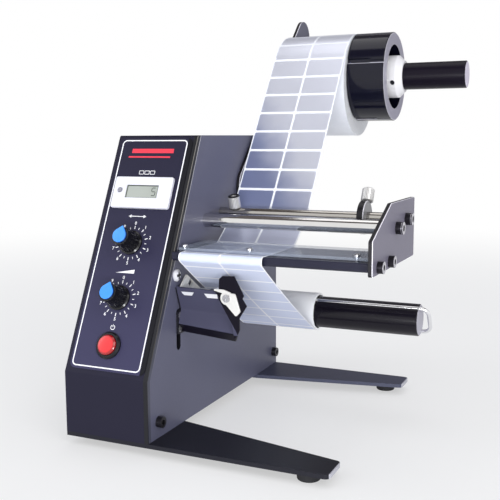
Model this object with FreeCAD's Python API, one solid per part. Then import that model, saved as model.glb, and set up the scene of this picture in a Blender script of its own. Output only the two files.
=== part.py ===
import FreeCAD, Part
import math
import os

# Label dispenser: a sheet-metal control box on two long legs, with a label reel on a raised arm,
# two guide rods, a peel plate, a label-sensing tray and a motor-driven liner rewind shaft.
# The model is drawn with x = 0 on the outer face of the right side plate, y = 0 on the front wall and
# z = 0 under the box, in millimetres. At the end it is moved so that the origin is the centre of its
# footprint, at floor level.

V = FreeCAD.Vector
X_AXIS = V(1, 0, 0)
Y_AXIS = V(0, 1, 0)
Z_AXIS = V(0, 0, 1)

# Box
box_width = 66.0
box_depth = 223.0
box_height = 204.6
front_wall_height = 43.0
top_front_y = 77.0
side_plate_t = 3.0
sheet_t = 1.5
bend_r = 2.5
flange_width = 12.0
base_flange_height = 20.0
vent_count = 6
vent_pitch = 9.0
vent_length = 34.0
vent_width = 3.0
vent_low_z = 120.0

# Fits
touch_gap = 0.05
run_gap = 0.05
thread_gap = 0.05
soft_gap = 0.3

# Legs and feet
leg_t = 3.0
leg_length = 127.0
front_leg_root = 51.0
front_leg_tip = 24.0
rear_leg_root = 44.5
rear_leg_tip = 23.0
rear_leg_length = 122.0
leg_corner_r = 4.0
foot_r = 8.0
foot_bottom_r = 7.0
foot_h = 6.0
foot_tip_y = 11.0
foot_root_y = 20.0
foot_tip_inset = 17.0
foot_root_inset = 14.0
leg_bolt_r = 2.0
leg_bolt_inset = 15.0
leg_bolt_y = 33.0
nut_h = 3.2

# Screws: shank radius, head radius, head height
m3 = (1.5, 2.75, 2.0)
m4 = (2.0, 3.9, 4.0)
m5 = (2.5, 4.25, 5.0)
pan_head = (2.0, 4.35, 2.4)
case_screw_places = ((13.8, 11.5), (box_depth - 7.5, 11.5))
pan_screw_share = 0.404
pan_screw_behind_panel = 10.4
rear_pan_screw_place = (box_depth - 33.0, box_height - 8.2)

# Control panel, in the panel's own plane: x across, s down the slope from the top edge
panel_length = math.hypot(top_front_y, box_height - front_wall_height)
overlay_t = 0.4
overlay_margin = 3.0
overlay_top_s = 2.4
overlay_bottom_s = panel_length - 3.4
overlay_corner_r = 4.0
counter_x = -34.9
counter_s = panel_length * 0.2564
counter_width = 48.0
counter_height = 24.0
counter_proud = 2.8
counter_body_width = 44.6
counter_body_height = 21.6
counter_body_depth = 20.0
counter_corner_r = 1.6
window_x = -34.8
window_s = counter_s - 0.5
window_width = 26.6
window_height = 9.8
window_recess = 1.2
display_t = 0.6
reset_x = -53.1
reset_s = counter_s - 1.3
reset_r = 1.8
reset_proud = 0.7
reset_travel = 0.8
dial_x = -35.2
length_dial_s = panel_length * 0.4681
speed_dial_s = panel_length * 0.6944
pot_body_r = 8.2
pot_body_h = 10.0
bushing_r = 3.5
bushing_top = 6.2
pot_nut_r = 5.2
pot_nut_h = 2.2
pot_shaft_r = 3.0
pot_journal_r = 2.0
pot_shaft_in = 6.0
pot_shaft_top = 14.8
knob_foot = 0.9
skirt_r = 8.8
skirt_top = 2.8
barrel_r = 7.4
barrel_top_r = 6.6
barrel_top = 16.6
knob_recess_r = 6.0
knob_recess_top = 7.4
flute_count = 18
flute_r = 0.8
flute_depth = 0.4
cap_r = 5.2
cap_t = 1.4
pointer_reach = 7.4
pointer_angle = 11.0
button_x = -35.0
button_s = panel_length * 0.8826
switch_bezel_r = 9.4
switch_bezel_h = 2.6
switch_body_r = 7.9
switch_body_depth = 20.0
button_r = 7.0
button_top = 4.9
button_travel = 2.5

# Reel: arm, shaft, roll stop and label roll
arm_width = 29.0
arm_t = 3.0
arm_low = (155.0, 165.0)
arm_tip = (284.0, 294.0)
arm_bolt_from_low = (12.0, 42.0)
reel_y = 243.0
reel_z = 253.0
reel_shaft_r = 11.0
reel_shaft_end = 160.0
shaft_chamfer = 0.8
web_left = 7.0
web_right = 68.7
web_loose_r = 47.5
roll_r = 42.5
core_r = 17.7
core_wall = 2.3
stop_gap = 0.5
stop_length = 30.8
stop_r = 36.6
stop_step = 1.4
stop_bore_r = 26.5
stop_web_t = 5.0
stop_segments = 4
stop_slot_angle = 18.0
stop_slot_width = 4.0
stop_slot_share = 0.62
hub_r = 17.5
hub_spigot_r = 14.0
hub_past_ring = 4.0
hub_nose_length = 5.0
hub_nose_r = 12.6
set_screw_r = 2.0
set_screw_drop = 20.0

# Guide rods, collars and end plate
rod_length = 140.5
rear_rod = (112.8, 146.2)
rear_rod_r = 4.0
front_rod = (87.0, 142.5)
front_rod_r = 5.0
rod_tap_depth = 10.0
collar_r = 12.0
collar_t = 5.0
right_collar_x = rod_length - 29.5
thumb_stem_r = 2.0
thumb_r = 4.5
thumb_length = 10.0
left_thumb_x = 12.6
left_thumb_tilt = 16.0
left_thumb_stem_end = 1.5
right_thumb_tilt = -28.0
collar_bore_gap = 0.06
end_plate_t = 3.0
end_plate_low_z = 117.5
end_plate_front_y = 30.0
end_plate_front_z = 139.8
end_plate_top_y = 73.5
end_plate_top_z = 160.0
end_plate_rear_y = 137.5
end_plate_corner_r = 1.5

# Peel plate and presser strip
peel_front_y = 36.0
peel_rear_y = 91.0
peel_top_z = 125.3
peel_t = 6.0
peel_nose_r = 0.8
peel_underside_cut = 1.5
peel_screw_y = (42.5, 69.5)
peel_inner_screw_y = (60.0, 82.0)
strip_t = 2.0
strip_front_y = 42.0
strip_rear_y = 86.0
strip_inset = 1.2
strip_screw_y = 48.5
strip_screw_x = (3.4, rod_length - 12.5)
strip_stud_x = (53.0,)

# Label web and liner
web_t = 0.3
liner_t = 0.2
web_gap = 0.12
nose_loop_r = 3.5
nose_loop_end = 235.0
liner_mid_y = 75.0
liner_mid_sag = 1.6

# Rewind shaft, clip, wound liner and gear motor
rewind_y = 145.0
rewind_z = 68.0
rewind_r = 12.0
rewind_end = 148.0
journal_r = 6.0
bearing_r = 9.0
bearing_flange_r = 11.5
bearing_flange_t = 1.5
bearing_tail = 3.0
clip_wire_r = 1.5
clip_leg_r = 11.2
clip_reach = 7.0
clip_bend_r = 6.0
clip_start = 5.0
clip_angle = 30.0
groove_gap = 0.1
liner_roll_bore_r = 12.9
liner_roll_r = 14.5
output_shaft_r = 3.0
output_shaft_in = 18.0
gearbox_r = 18.5
gearbox_length = 25.0
gearbox_pocket = 6.5
motor_r = 17.0
motor_end_gap = 9.5
motor_length = box_width - side_plate_t - sheet_t - gearbox_length - motor_end_gap
motor_screw_circle_r = 15.5

# Label sensing assembly
bracket_t = 1.5
tray_t = 1.2
tray_left_profile = ((38.6, 100.4), (45.0, 83.6), (41.0, 74.2), (48.0, 67.0))
tray_right_profile = ((41.2, 98.6), (47.0, 81.6), (42.6, 70.2), (49.6, 63.0))
tray_bend_r = (0, 3.0, 1.5, 0)
tray_right = 33.5
tray_lip_right = 44.5
tray_edge = ((tray_right, 99.4), (tray_right, 92.5), (38.6, 85.4), (43.2, 77.6), (tray_lip_right, 71.2),
             (tray_lip_right, 68.2))
tray_lip_corner = (38.5, 58.0)
tray_window_left = ((4.2, 97.3), (6.2, 94.6), (12.4, 94.6), (14.4, 97.3))
tray_window_right = ((21.6, 97.0), (23.6, 93.7), (31.8, 93.7), (31.8, 97.0))
tray_notch = (29.8, 33.6, 98.4)
ear_outline = ((tray_right, 99.0), (34.0, 108.0), (36.5, 110.2), (45.1, 110.5), (52.2, 97.5), (51.0, 95.5),
               (54.3, 90.6), (48.8, 82.0), (49.0, 74.0), (46.9, 68.8), (44.8, 67.4), (44.6, 71.2), (43.9, 77.6),
               (39.2, 85.4), (tray_right, 92.8))
tray_flange_rear = ((66.0, 68.0), (66.0, 92.0))
bracket_outline = ((39.6, 99.8), (45.4, 84.6), (40.6, 82.0), (40.6, 66.5), (68.0, 66.5), (68.0, 92.0), (56.0, 101.0))
switch_cheek_outline = ((40.4, 99.6), (49.8, 107.8), (70.0, 94.6), (70.0, 81.0), (52.5, 81.0), (49.0, 88.0))
switch_cheek_window = (54.8, 101.2, 4.8)
lever_finger = ((37.6, 99.3), (46.6, 98.9), (50.4, 86.8), (47.2, 83.2), (39.4, 91.2))
lever_tail = ((30.8, 100.1), (38.0, 98.5), (43.0, 98.4), (43.0, 99.6), (38.0, 101.2), (30.8, 101.2))
lever_tab_z = (100.1, 101.2)
ear_y = 40.0
ear_t = 1.2
slot_y = 43.6
slot_width = 6.0
slot_low_z = 54.5
slot_high_z = 84.0
clamp_screw_z = (70.0, 79.5)
clamp_shank_r = 2.4
stack_screws = ((60.8, 88.0), (60.8, 72.0))
lever_pivot = (40.3, 95.4)
lever_t = 1.2
lever_hub_r = 4.7
lever_gap = 0.3
lever_tail_x = 30.8
switch_size = (13.0, 6.4, 10.0)
switch_front_y = 49.8
switch_low_z = 87.6
plunger_size = (1.2, 2.4)
plunger_depth = 1.5
plunger_proud = 1.6
plunger_travel = 0.8
plunger_gap = 0.08
lever_tab_width = 1.4
shelf_t = 1.2

# Electronics
board_size = (box_width - 16.0, 78.0, 1.6)
board_centre = (-box_width / 2 - 0.5, box_depth / 2 - 1.5)
board_relay = ((10.0, 26.0), (10.0, 30.0), 14.0)
board_terminals = ((9.0, 41.0), (58.0, 67.0), 9.0)
board_heat_sink = ((36.0, 40.0), (12.0, 36.0), 18.0)
board_capacitors = ((14.0, 44.0), (27.0, 44.0))
board_capacitor = (5.0, 16.0)
board_boss_h = 6.0
board_boss_r = 3.0
inlet_x = -48.0
inlet_z = 30.0
inlet_r = 5.5
inlet_flange_r = 7.0
inlet_bore_r = 2.8
inlet_bore_depth = 9.0
inlet_pin_r = 1.0

# Worked out from the sizes above
pan_screw_place = (top_front_y * pan_screw_share + pan_screw_behind_panel,
                   front_wall_height + (box_height - front_wall_height) * pan_screw_share)
inner_left = -box_width + sheet_t
inner_right = -side_plate_t
floor_z = -leg_t - foot_h
slope_angle = math.degrees(math.atan2(box_height - front_wall_height, top_front_y))
ring_left = web_right + stop_gap
ring_right = ring_left + stop_length
hub_right = ring_right + hub_past_ring + hub_nose_length
roll_z = reel_z - (core_r - reel_shaft_r - soft_gap)
end_plate_right = rod_length + end_plate_t
peel_mid_z = peel_top_z - peel_t / 2
bracket_x = (touch_gap, touch_gap + bracket_t)
tray_flange_x = (bracket_x[1] + touch_gap, bracket_x[1] + touch_gap + tray_t)
switch_plate_x = (tray_flange_x[1] + touch_gap, tray_flange_x[1] + touch_gap + shelf_t)


# Helpers for solids

def block(x0, x1, y0, y1, z0, z1):
    return Part.makeBox(x1 - x0, y1 - y0, z1 - z0, V(x0, y0, z0))


def rod_x(x0, x1, y, z, r):
    return Part.makeCylinder(r, x1 - x0, V(x0, y, z), X_AXIS)


def ring_x(x0, x1, y, z, r, bore_r):
    return rod_x(x0, x1, y, z, r).cut(rod_x(x0 - 1, x1 + 1, y, z, bore_r))


def fused(shapes):
    result = shapes[0]
    for shape in shapes[1:]:
        result = result.fuse(shape)
    return result.removeSplitter()


def without(shape, cutters):
    for cutter in cutters:
        shape = shape.cut(cutter)
    return shape


def rounded_outline(points, radii):
    """Closed wire through the points, with an arc of its own radius at each corner."""
    count = len(points)
    edges = []
    starts = []
    ends = []
    for i, corner in enumerate(points):
        before = (points[i - 1] - corner).normalize()
        after = (points[(i + 1) % count] - corner).normalize()
        radius = radii[i]
        if radius <= 0:
            starts.append(corner)
            ends.append(corner)
            edges.append(None)
            continue
        half = before.getAngle(after) / 2
        reach = radius / math.tan(half)
        bisector = (before + after).normalize()
        middle = corner + bisector * (radius / math.sin(half) - radius)
        starts.append(corner + before * reach)
        ends.append(corner + after * reach)
        edges.append(Part.Arc(starts[i], middle, ends[i]).toShape())
    path = []
    for i in range(count):
        if edges[i] is not None:
            path.append(edges[i])
        following = starts[(i + 1) % count]
        if ends[i].distanceToPoint(following) > 1e-6:
            path.append(Part.makeLine(ends[i], following))
    return Part.Wire(path)


def plate_x(outline, x0, x1, radii=0.0):
    """Plate across x, from an outline of (y, z) corners."""
    points = [V(x0, y, z) for y, z in outline]
    sizes = radii if isinstance(radii, (list, tuple)) else [radii] * len(points)
    return Part.Face(rounded_outline(points, sizes)).extrude(V(x1 - x0, 0, 0))


def plate_y(outline, y0, y1, radii=0.0):
    """Plate across y, from an outline of (x, z) corners."""
    points = [V(x, y0, z) for x, z in outline]
    sizes = radii if isinstance(radii, (list, tuple)) else [radii] * len(points)
    return Part.Face(rounded_outline(points, sizes)).extrude(V(0, y1 - y0, 0))


def plate_z(outline, z0, z1, radii=0.0):
    """Plate across z, from an outline of (x, y) corners."""
    points = [V(x, y, z0) for x, y in outline]
    sizes = radii if isinstance(radii, (list, tuple)) else [radii] * len(points)
    return Part.Face(rounded_outline(points, sizes)).extrude(V(0, 0, z1 - z0))


def revolved_x(profile, y, z):
    """Solid of revolution about an axis along x, from (x, radius) corners."""
    points = [V(x, y, z + r) for x, r in profile]
    face = Part.Face(Part.makePolygon(points + [points[0]]))
    return face.revolve(V(0, y, z), X_AXIS, 360)


def revolved_z(profile):
    """Solid of revolution about z, from (radius, z) corners."""
    points = [V(r, 0, z) for r, z in profile]
    face = Part.Face(Part.makePolygon(points + [points[0]]))
    return face.revolve(V(0, 0, 0), Z_AXIS, 360)


def on_panel(shape, x, s):
    """Puts a shape drawn with z outward on the sloped panel, s down from its top edge."""
    turn = FreeCAD.Rotation(X_AXIS, slope_angle)
    place = V(0, top_front_y, box_height) + turn.multVec(V(x, -s, 0))
    moved = shape.copy()
    moved.Placement = FreeCAD.Placement(place, turn).multiply(moved.Placement)
    return moved


def hexagon(circumradius, z0, z1):
    """Hexagonal prism along z."""
    corners = []
    for i in range(6):
        angle = math.radians(60 * i)
        corners.append((circumradius * math.cos(angle), circumradius * math.sin(angle)))
    return plate_z(corners, z0, z1)


def socket_screw(face_x, y, z, size, length, direction):
    """Socket head screw along x: its head stands on face_x, its shank goes the other way."""
    shank_r, head_r, head_h = size
    axis = V(direction, 0, 0)
    head = Part.makeCylinder(head_r, head_h, V(face_x, y, z), axis)
    socket = Part.makeCylinder(shank_r * 0.9, head_h * 0.55, V(face_x + direction * head_h, y, z), axis * -1)
    shank = Part.makeCylinder(shank_r, length, V(face_x, y, z), axis * -1)
    return head.cut(socket).fuse(shank)


def pan_screw(face_x, y, z, length, direction):
    """Pan head screw along x with a cross recess."""
    shank_r, head_r, head_h = pan_head
    profile = [(0, 0), (0, head_r), (head_h * 0.45, head_r), (head_h, head_r * 0.55), (head_h, 0)]
    head = revolved_x(profile, 0, 0)
    for width, height in ((0.9, 3.8), (3.8, 0.9)):
        recess = block(head_h - 1.2, head_h + 1, -width / 2, width / 2, -height / 2, height / 2)
        head = head.cut(recess)
    shank = rod_x(-length, 0, 0, 0, shank_r)
    screw = head.fuse(shank)
    if direction < 0:
        screw.rotate(V(0, 0, 0), Z_AXIS, 180)
    screw.translate(V(face_x, y, z))
    return screw


def side_outline():
    return [(0, 0), (box_depth, 0), (box_depth, box_height), (top_front_y, box_height), (0, front_wall_height)]


def side_radii():
    return [0, 0, 0, bend_r, bend_r]


# Box shell

def inset_path(depth):
    """Front wall, slope and top line of the box, moved inward by a depth."""
    slope = math.radians(slope_angle)
    knee_low = front_wall_height - depth * math.tan((math.pi / 2 - slope) / 2)
    knee_top = top_front_y + depth * math.tan(slope / 2)
    return [(depth, 0), (depth, knee_low), (knee_top, box_height - depth), (box_depth, box_height - depth)]


def shell_band(depth0, depth1, x0, x1, low_z, rear_y):
    """Part of the wrap-round sheet between two depths."""
    outer = inset_path(depth0)
    inner = inset_path(depth1)
    outer[0] = (outer[0][0], low_z)
    inner[0] = (inner[0][0], low_z)
    outer[3] = (rear_y, outer[3][1])
    inner[3] = (rear_y, inner[3][1])
    corners = outer + inner[::-1]
    outer_r = max(bend_r - depth0, 0.4)
    inner_r = max(bend_r - depth1, 0.4)
    return plate_x(corners, x0, x1, [0, outer_r, outer_r, 0, 0, inner_r, inner_r, 0])


def screw_holes(places, x0, x1, r):
    return [rod_x(x0, x1, y, z, r) for y, z in places]


def panel_cutters(depth):
    """Openings of the sloped panel, as deep as given, for the counter, the dials and the switch."""
    half_w = counter_body_width / 2 + 0.2
    half_h = counter_body_height / 2 + 0.2
    cutters = [on_panel(block(-half_w, half_w, -half_h, half_h, -depth, depth), counter_x, counter_s)]
    for s in (length_dial_s, speed_dial_s):
        cutters.append(on_panel(Part.makeCylinder(bushing_r + 0.1, 2 * depth, V(0, 0, -depth)), dial_x, s))
    switch_hole = Part.makeCylinder(switch_body_r + 0.1, 2 * depth, V(0, 0, -depth))
    cutters.append(on_panel(switch_hole, button_x, button_s))
    return cutters


def panel_shell():
    wall = shell_band(0, sheet_t, inner_left, inner_right, 0, box_depth - sheet_t - touch_gap)
    low_z = base_flange_height + 3 * sheet_t
    rear_y = box_depth - flange_width - 3 * sheet_t
    right = shell_band(sheet_t / 2, sheet_t + flange_width, inner_right - sheet_t, inner_right, low_z, rear_y)
    left = shell_band(sheet_t / 2, sheet_t + flange_width, inner_left, inner_left + sheet_t, low_z, rear_y)
    shell = fused([wall, right, left])
    holes = screw_holes([pan_screw_place, rear_pan_screw_place], -box_width, inner_left + 2 * sheet_t,
                        pan_head[0] + thread_gap)
    holes += screw_holes([pan_screw_place], inner_right - 2 * sheet_t, 0, pan_head[0] + thread_gap)
    holes += screw_holes([arm_point(arm_bolt_from_low[1])], inner_right - 2 * sheet_t, 0, m5[0] + thread_gap)
    return without(shell, panel_cutters(3 * sheet_t) + holes)


def rear_cover():
    cover = block(inner_left, inner_right, box_depth - sheet_t, box_depth, sheet_t + touch_gap, box_height)
    low_z = base_flange_height + 3 * sheet_t
    high_z = box_height - flange_width - 4 * sheet_t
    front_y = box_depth - sheet_t - flange_width
    for x0 in (inner_left, inner_right - sheet_t):
        cover = cover.fuse(block(x0, x0 + sheet_t, front_y, box_depth - sheet_t / 2, low_z, high_z))
    cutters = []
    middle = (inner_left + inner_right) / 2
    for i in range(vent_count):
        z = vent_low_z + i * vent_pitch
        half = vent_length / 2
        corners = [(middle - half, z), (middle + half, z), (middle + half, z + vent_width), (middle - half, z + vent_width)]
        cutters.append(plate_y(corners, box_depth - 2 * sheet_t, box_depth + 1, vent_width * 0.45))
    cutters.append(Part.makeCylinder(inlet_r + 0.1, 4 * sheet_t, V(inlet_x, box_depth - 2 * sheet_t, inlet_z), Y_AXIS))
    return without(cover.removeSplitter(), cutters)


def board_holes():
    half_x = board_size[0] / 2 - 4
    half_y = board_size[1] / 2 - 4
    return [(board_centre[0] + sx * half_x, board_centre[1] + sy * half_y) for sx in (-1, 1) for sy in (-1, 1)]


def base_plate():
    plate = block(inner_left, inner_right, sheet_t + touch_gap, box_depth, 0, sheet_t)
    front_y = 2 * sheet_t
    rear_y = box_depth - 2 * sheet_t
    for x0 in (inner_left, inner_right - sheet_t):
        plate = plate.fuse(block(x0, x0 + sheet_t, front_y, rear_y, sheet_t / 2, base_flange_height))
    for x, y in board_holes():
        plate = plate.fuse(Part.makeCylinder(board_boss_r, board_boss_h + sheet_t, V(x, y, 0)))
    cutters = screw_holes(case_screw_places, -box_width, 0, m4[0] + thread_gap)
    for x, y in leg_bolt_places():
        cutters.append(Part.makeCylinder(leg_bolt_r + thread_gap, 4 * sheet_t, V(x, y, -sheet_t)))
    return without(plate.removeSplitter(), cutters)


def arm_point(distance):
    """Point on the reel arm's middle line, a distance up from its lower round's centre."""
    dy = arm_tip[0] - arm_low[0]
    dz = arm_tip[1] - arm_low[1]
    length = math.hypot(dy, dz)
    return (arm_low[0] + dy / length * distance, arm_low[1] + dz / length * distance)


def side_slot():
    """Upright adjusting slot of the side plate for the sensing tray."""
    r = slot_width / 2
    low = rod_x(-2 * side_plate_t, side_plate_t, slot_y, slot_low_z + r, r)
    high = rod_x(-2 * side_plate_t, side_plate_t, slot_y, slot_high_z - r, r)
    middle = block(-2 * side_plate_t, side_plate_t, slot_y - r, slot_y + r, slot_low_z + r, slot_high_z - r)
    return fused([low, high, middle])


def motor_screw_places():
    places = []
    for i in range(4):
        angle = math.radians(45 + 90 * i)
        places.append((rewind_y + motor_screw_circle_r * math.cos(angle),
                       rewind_z + motor_screw_circle_r * math.sin(angle)))
    return places


def countersunk_screw(y, z, grow=0.0):
    """Flat head screw flush with the side plate's outer face, into the gearbox."""
    r, head_r, head_h = m3
    profile = [(0, 0), (0, head_r + grow), (-head_h + grow, r + grow), (-side_plate_t - 6 - grow, r + grow),
               (-side_plate_t - 6 - grow, 0)]
    return revolved_x(profile, y, z)


def right_side_plate():
    plate = plate_x(side_outline(), -side_plate_t, 0, side_radii())
    reach = (-2 * side_plate_t, side_plate_t)
    cutters = screw_holes(case_screw_places, *reach, m4[0] + thread_gap)
    cutters += screw_holes([pan_screw_place], *reach, pan_head[0] + thread_gap)
    cutters += screw_holes([arm_point(d) for d in arm_bolt_from_low], *reach, m5[0] + thread_gap)
    cutters += screw_holes([rear_rod, front_rod], *reach, m5[0] + thread_gap)
    cutters += screw_holes([(y, peel_mid_z) for y in peel_inner_screw_y], *reach, m4[0] + thread_gap)
    cutters.append(rod_x(*reach, rewind_y, rewind_z, bearing_r + run_gap))
    cutters += [countersunk_screw(y, z, touch_gap) for y, z in motor_screw_places()]
    cutters.append(side_slot())
    return without(plate, cutters)


def left_side_cover():
    cover = plate_x(side_outline(), -box_width, inner_left, side_radii())
    places = case_screw_places + (pan_screw_place, rear_pan_screw_place)
    return without(cover, screw_holes(places, -box_width - 1, inner_left + 1, m4[0] + thread_gap))


# Legs, feet and the screws of the box

def leg_bolt_places():
    xs = (-box_width + leg_bolt_inset, -leg_bolt_inset)
    return [(x, y) for x in xs for y in (leg_bolt_y, box_depth - leg_bolt_y)]


def leg(outline):
    plate = plate_z(outline, -leg_t, 0, [0, leg_corner_r, leg_corner_r, 0, 0])
    cutters = [Part.makeCylinder(leg_bolt_r + thread_gap, 3 * leg_t, V(x, y, -2 * leg_t)) for x, y in leg_bolt_places()]
    return without(plate, cutters)


def front_leg():
    return leg([(-box_width, 0), (leg_length, 0), (leg_length, front_leg_tip), (0, front_leg_root),
                (-box_width, front_leg_root)])


def rear_leg():
    tip_y = box_depth - rear_leg_tip
    root_y = box_depth - rear_leg_root
    return leg([(-box_width, box_depth), (rear_leg_length, box_depth), (rear_leg_length, tip_y), (0, root_y),
                (-box_width, root_y)])


def foot_places():
    left = -box_width + foot_root_inset
    return [(leg_length - foot_tip_inset, foot_tip_y), (left, foot_root_y),
            (rear_leg_length - foot_tip_inset, box_depth - foot_tip_y), (left, box_depth - foot_root_y)]


def rubber_feet():
    """Tapered feet stuck under the legs."""
    feet = []
    for x, y in foot_places():
        profile = [(0, floor_z), (foot_bottom_r, floor_z), (foot_bottom_r + 0.5, floor_z + 0.6), (foot_r, -leg_t),
                   (0, -leg_t)]
        foot = revolved_z(profile)
        foot.translate(V(x, y, 0))
        feet.append(foot)
    return feet


def leg_bolts():
    """Button head bolts from below with their nuts inside the box, each one solid."""
    bolts = []
    for x, y in leg_bolt_places():
        head = revolved_z([(0, 0), (4.0, 0), (3.4, -1.7), (2.2, -2.3), (0, -2.3)])
        head.translate(V(0, 0, -leg_t))
        shank = Part.makeCylinder(leg_bolt_r, leg_t + sheet_t + nut_h + 1, V(0, 0, -leg_t))
        bolt = fused([head, shank, hexagon(4.0, sheet_t, sheet_t + nut_h)])
        bolt.translate(V(x, y, 0))
        bolts.append(bolt)
    return bolts


def side_plate_screws():
    """Socket head screws of the side plate, the reel arm and the reel shaft."""
    screws = []
    for y, z in case_screw_places:
        screws.append(socket_screw(0, y, z, m4, side_plate_t + sheet_t + 3, 1))
    for distance in arm_bolt_from_low:
        y, z = arm_point(distance)
        screws.append(socket_screw(arm_t, y, z, m5, arm_t + side_plate_t + 2, 1))
    screws.append(socket_screw(0, reel_y, reel_z, m5, arm_t + rod_tap_depth - 2, -1))
    return screws


def cover_screws():
    """Pan head screws of the shell on the right and of the whole left cover."""
    screws = [pan_screw(0, *pan_screw_place, side_plate_t + sheet_t + 3, 1)]
    for y, z in case_screw_places + (pan_screw_place, rear_pan_screw_place):
        screws.append(pan_screw(-box_width, y, z, 2 * sheet_t + 3, -1))
    return screws


# Control panel

def panel_overlay():
    half = (box_width - overlay_margin - overlay_margin) / 2
    middle = -box_width / 2
    height = overlay_bottom_s - overlay_top_s
    corners = [(-half, 0), (half, 0), (half, -height), (-half, -height)]
    sheet = plate_z(corners, 0, overlay_t, overlay_corner_r)
    sheet = on_panel(sheet, middle, overlay_top_s)
    return without(sheet, panel_cutters(3 * sheet_t))


def counter_housing():
    half_w = counter_width / 2
    half_h = counter_height / 2
    corners = [(-half_w, -half_h), (half_w, -half_h), (half_w, half_h), (-half_w, half_h)]
    top = overlay_t + counter_proud
    bezel = plate_z(corners, overlay_t, top, counter_corner_r)
    rim = [edge for edge in bezel.Edges if min(v.Z for v in edge.Vertexes) > top - 0.01]
    bezel = bezel.makeChamfer(0.6, rim)
    body_w = counter_body_width / 2
    body_h = counter_body_height / 2
    body = block(-body_w, body_w, -body_h, body_h, -counter_body_depth, overlay_t)
    housing = bezel.fuse(body)
    window = block(-window_width / 2, window_width / 2, -window_height / 2, window_height / 2, top - window_recess, top + 1)
    window.translate(V(window_x - counter_x, counter_s - window_s, 0))
    pocket = Part.makeCylinder(reset_r + 0.2, 4, V(reset_x - counter_x, counter_s - reset_s, top - 2.4))
    return on_panel(without(housing, [window, pocket]), counter_x, counter_s)


def counter_display():
    half_w = window_width / 2 - touch_gap
    half_h = window_height / 2 - touch_gap
    base = overlay_t + counter_proud - window_recess
    return on_panel(block(-half_w, half_w, -half_h, half_h, base, base + display_t), window_x, window_s)


def counter_reset_button():
    top = overlay_t + counter_proud
    profile = [(0, top - 1.4), (reset_r, top - 1.4), (reset_r, top + reset_proud - 0.3),
               (reset_r - 0.3, top + reset_proud), (0, top + reset_proud)]
    return on_panel(revolved_z(profile), reset_x, reset_s)


def potentiometers():
    """Both dial potentiometers: can, threaded bushing and its nut, bored for the shaft."""
    solids = []
    for s in (length_dial_s, speed_dial_s):
        can = Part.makeCylinder(pot_body_r, pot_body_h, V(0, 0, -sheet_t - pot_body_h))
        bushing = Part.makeCylinder(bushing_r, bushing_top + sheet_t, V(0, 0, -sheet_t))
        lugs = block(-6, 6, -pot_body_r - 5, -pot_body_r + 1, -sheet_t - 6, -sheet_t - 5)
        body = fused([can, bushing, lugs, hexagon(pot_nut_r, overlay_t, overlay_t + pot_nut_h)])
        bore = Part.makeCylinder(pot_journal_r + run_gap, pot_body_h * 4, V(0, 0, -sheet_t - pot_shaft_in - soft_gap))
        solids.append(on_panel(body.cut(bore), dial_x, s))
    return solids


def pot_shaft(s):
    """Shaft that runs in the bushing and carries the knob."""
    low_z = -sheet_t - pot_shaft_in
    step_z = bushing_top + soft_gap
    profile = [(0, low_z), (pot_journal_r, low_z), (pot_journal_r, step_z), (pot_shaft_r, step_z),
               (pot_shaft_r, pot_shaft_top), (0, pot_shaft_top)]
    return on_panel(revolved_z(profile), dial_x, s)


def knob(s):
    """Skirted knob, hollow under the skirt over the nut, with flutes round the barrel."""
    profile = [(0, knob_recess_top), (knob_recess_r, knob_recess_top), (knob_recess_r, knob_foot),
               (skirt_r, knob_foot), (skirt_r, skirt_top - 0.6), (barrel_r + 0.4, skirt_top),
               (barrel_r, skirt_top + 0.8), (barrel_top_r, barrel_top), (0, barrel_top)]
    body = revolved_z(profile)
    lean = math.degrees(math.atan2(barrel_r - barrel_top_r, barrel_top - skirt_top))
    for i in range(flute_count):
        flute = Part.makeCylinder(flute_r, barrel_top, V(0, 0, 0))
        flute.rotate(V(0, 0, 0), Y_AXIS, -lean)
        flute.translate(V(barrel_r + flute_r - flute_depth, 0, skirt_top + 1.4))
        flute.rotate(V(0, 0, 0), Z_AXIS, (i + 0.5) * 360 / flute_count - pointer_angle)
        body = body.cut(flute)
    bore = Part.makeCylinder(pot_shaft_r + thread_gap, barrel_top, V(0, 0, knob_recess_top - 1))
    return on_panel(body.cut(bore), dial_x, s)


def knob_cap(s):
    """Coloured teardrop cap whose point is the index mark, with a plug in the knob's bore."""
    top = barrel_top + cap_t
    disc = Part.makeCylinder(cap_r, cap_t, V(0, 0, barrel_top))
    reach = pointer_reach
    tangent = math.acos(cap_r / reach)
    corners = [(0, reach), (-cap_r * math.sin(tangent), cap_r * math.cos(tangent)), (0, 0),
               (cap_r * math.sin(tangent), cap_r * math.cos(tangent))]
    point = plate_z(corners, barrel_top, top)
    plug = Part.makeCylinder(pot_shaft_r - 0.2, 1.6, V(0, 0, barrel_top - 1.6))
    cap = fused([disc, point, plug])
    cap.rotate(V(0, 0, 0), Z_AXIS, -pointer_angle)
    return on_panel(cap, dial_x, s)


def power_switch():
    """Round switch: bezel, threaded body with its nut behind the panel, and terminals."""
    bezel_profile = [(0, overlay_t), (switch_bezel_r, overlay_t), (switch_bezel_r, overlay_t + 1.4),
                     (switch_bezel_r - 1.0, overlay_t + switch_bezel_h), (0, overlay_t + switch_bezel_h)]
    body = Part.makeCylinder(switch_body_r, switch_body_depth + overlay_t, V(0, 0, -switch_body_depth))
    nut = hexagon(switch_body_r + 3.4, -sheet_t - 3.5, -sheet_t)
    pins = [block(x - 0.4, x + 0.4, -1.4, 1.4, -switch_body_depth - 7, -switch_body_depth + 1) for x in (-4, 0, 4)]
    switch = fused([revolved_z(bezel_profile), body, nut] + pins)
    pocket = Part.makeCylinder(button_r + soft_gap, 40, V(0, 0, -button_travel - 1.6))
    return on_panel(switch.cut(pocket), button_x, button_s)


def power_button():
    base = -1.0
    dome = button_top - 1.1
    profile = [(0, base), (button_r, base), (button_r, dome), (button_r - 0.9, button_top - 0.2),
               (button_r * 0.5, button_top), (0, button_top)]
    return on_panel(revolved_z(profile), button_x, button_s)


# Reel

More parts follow.
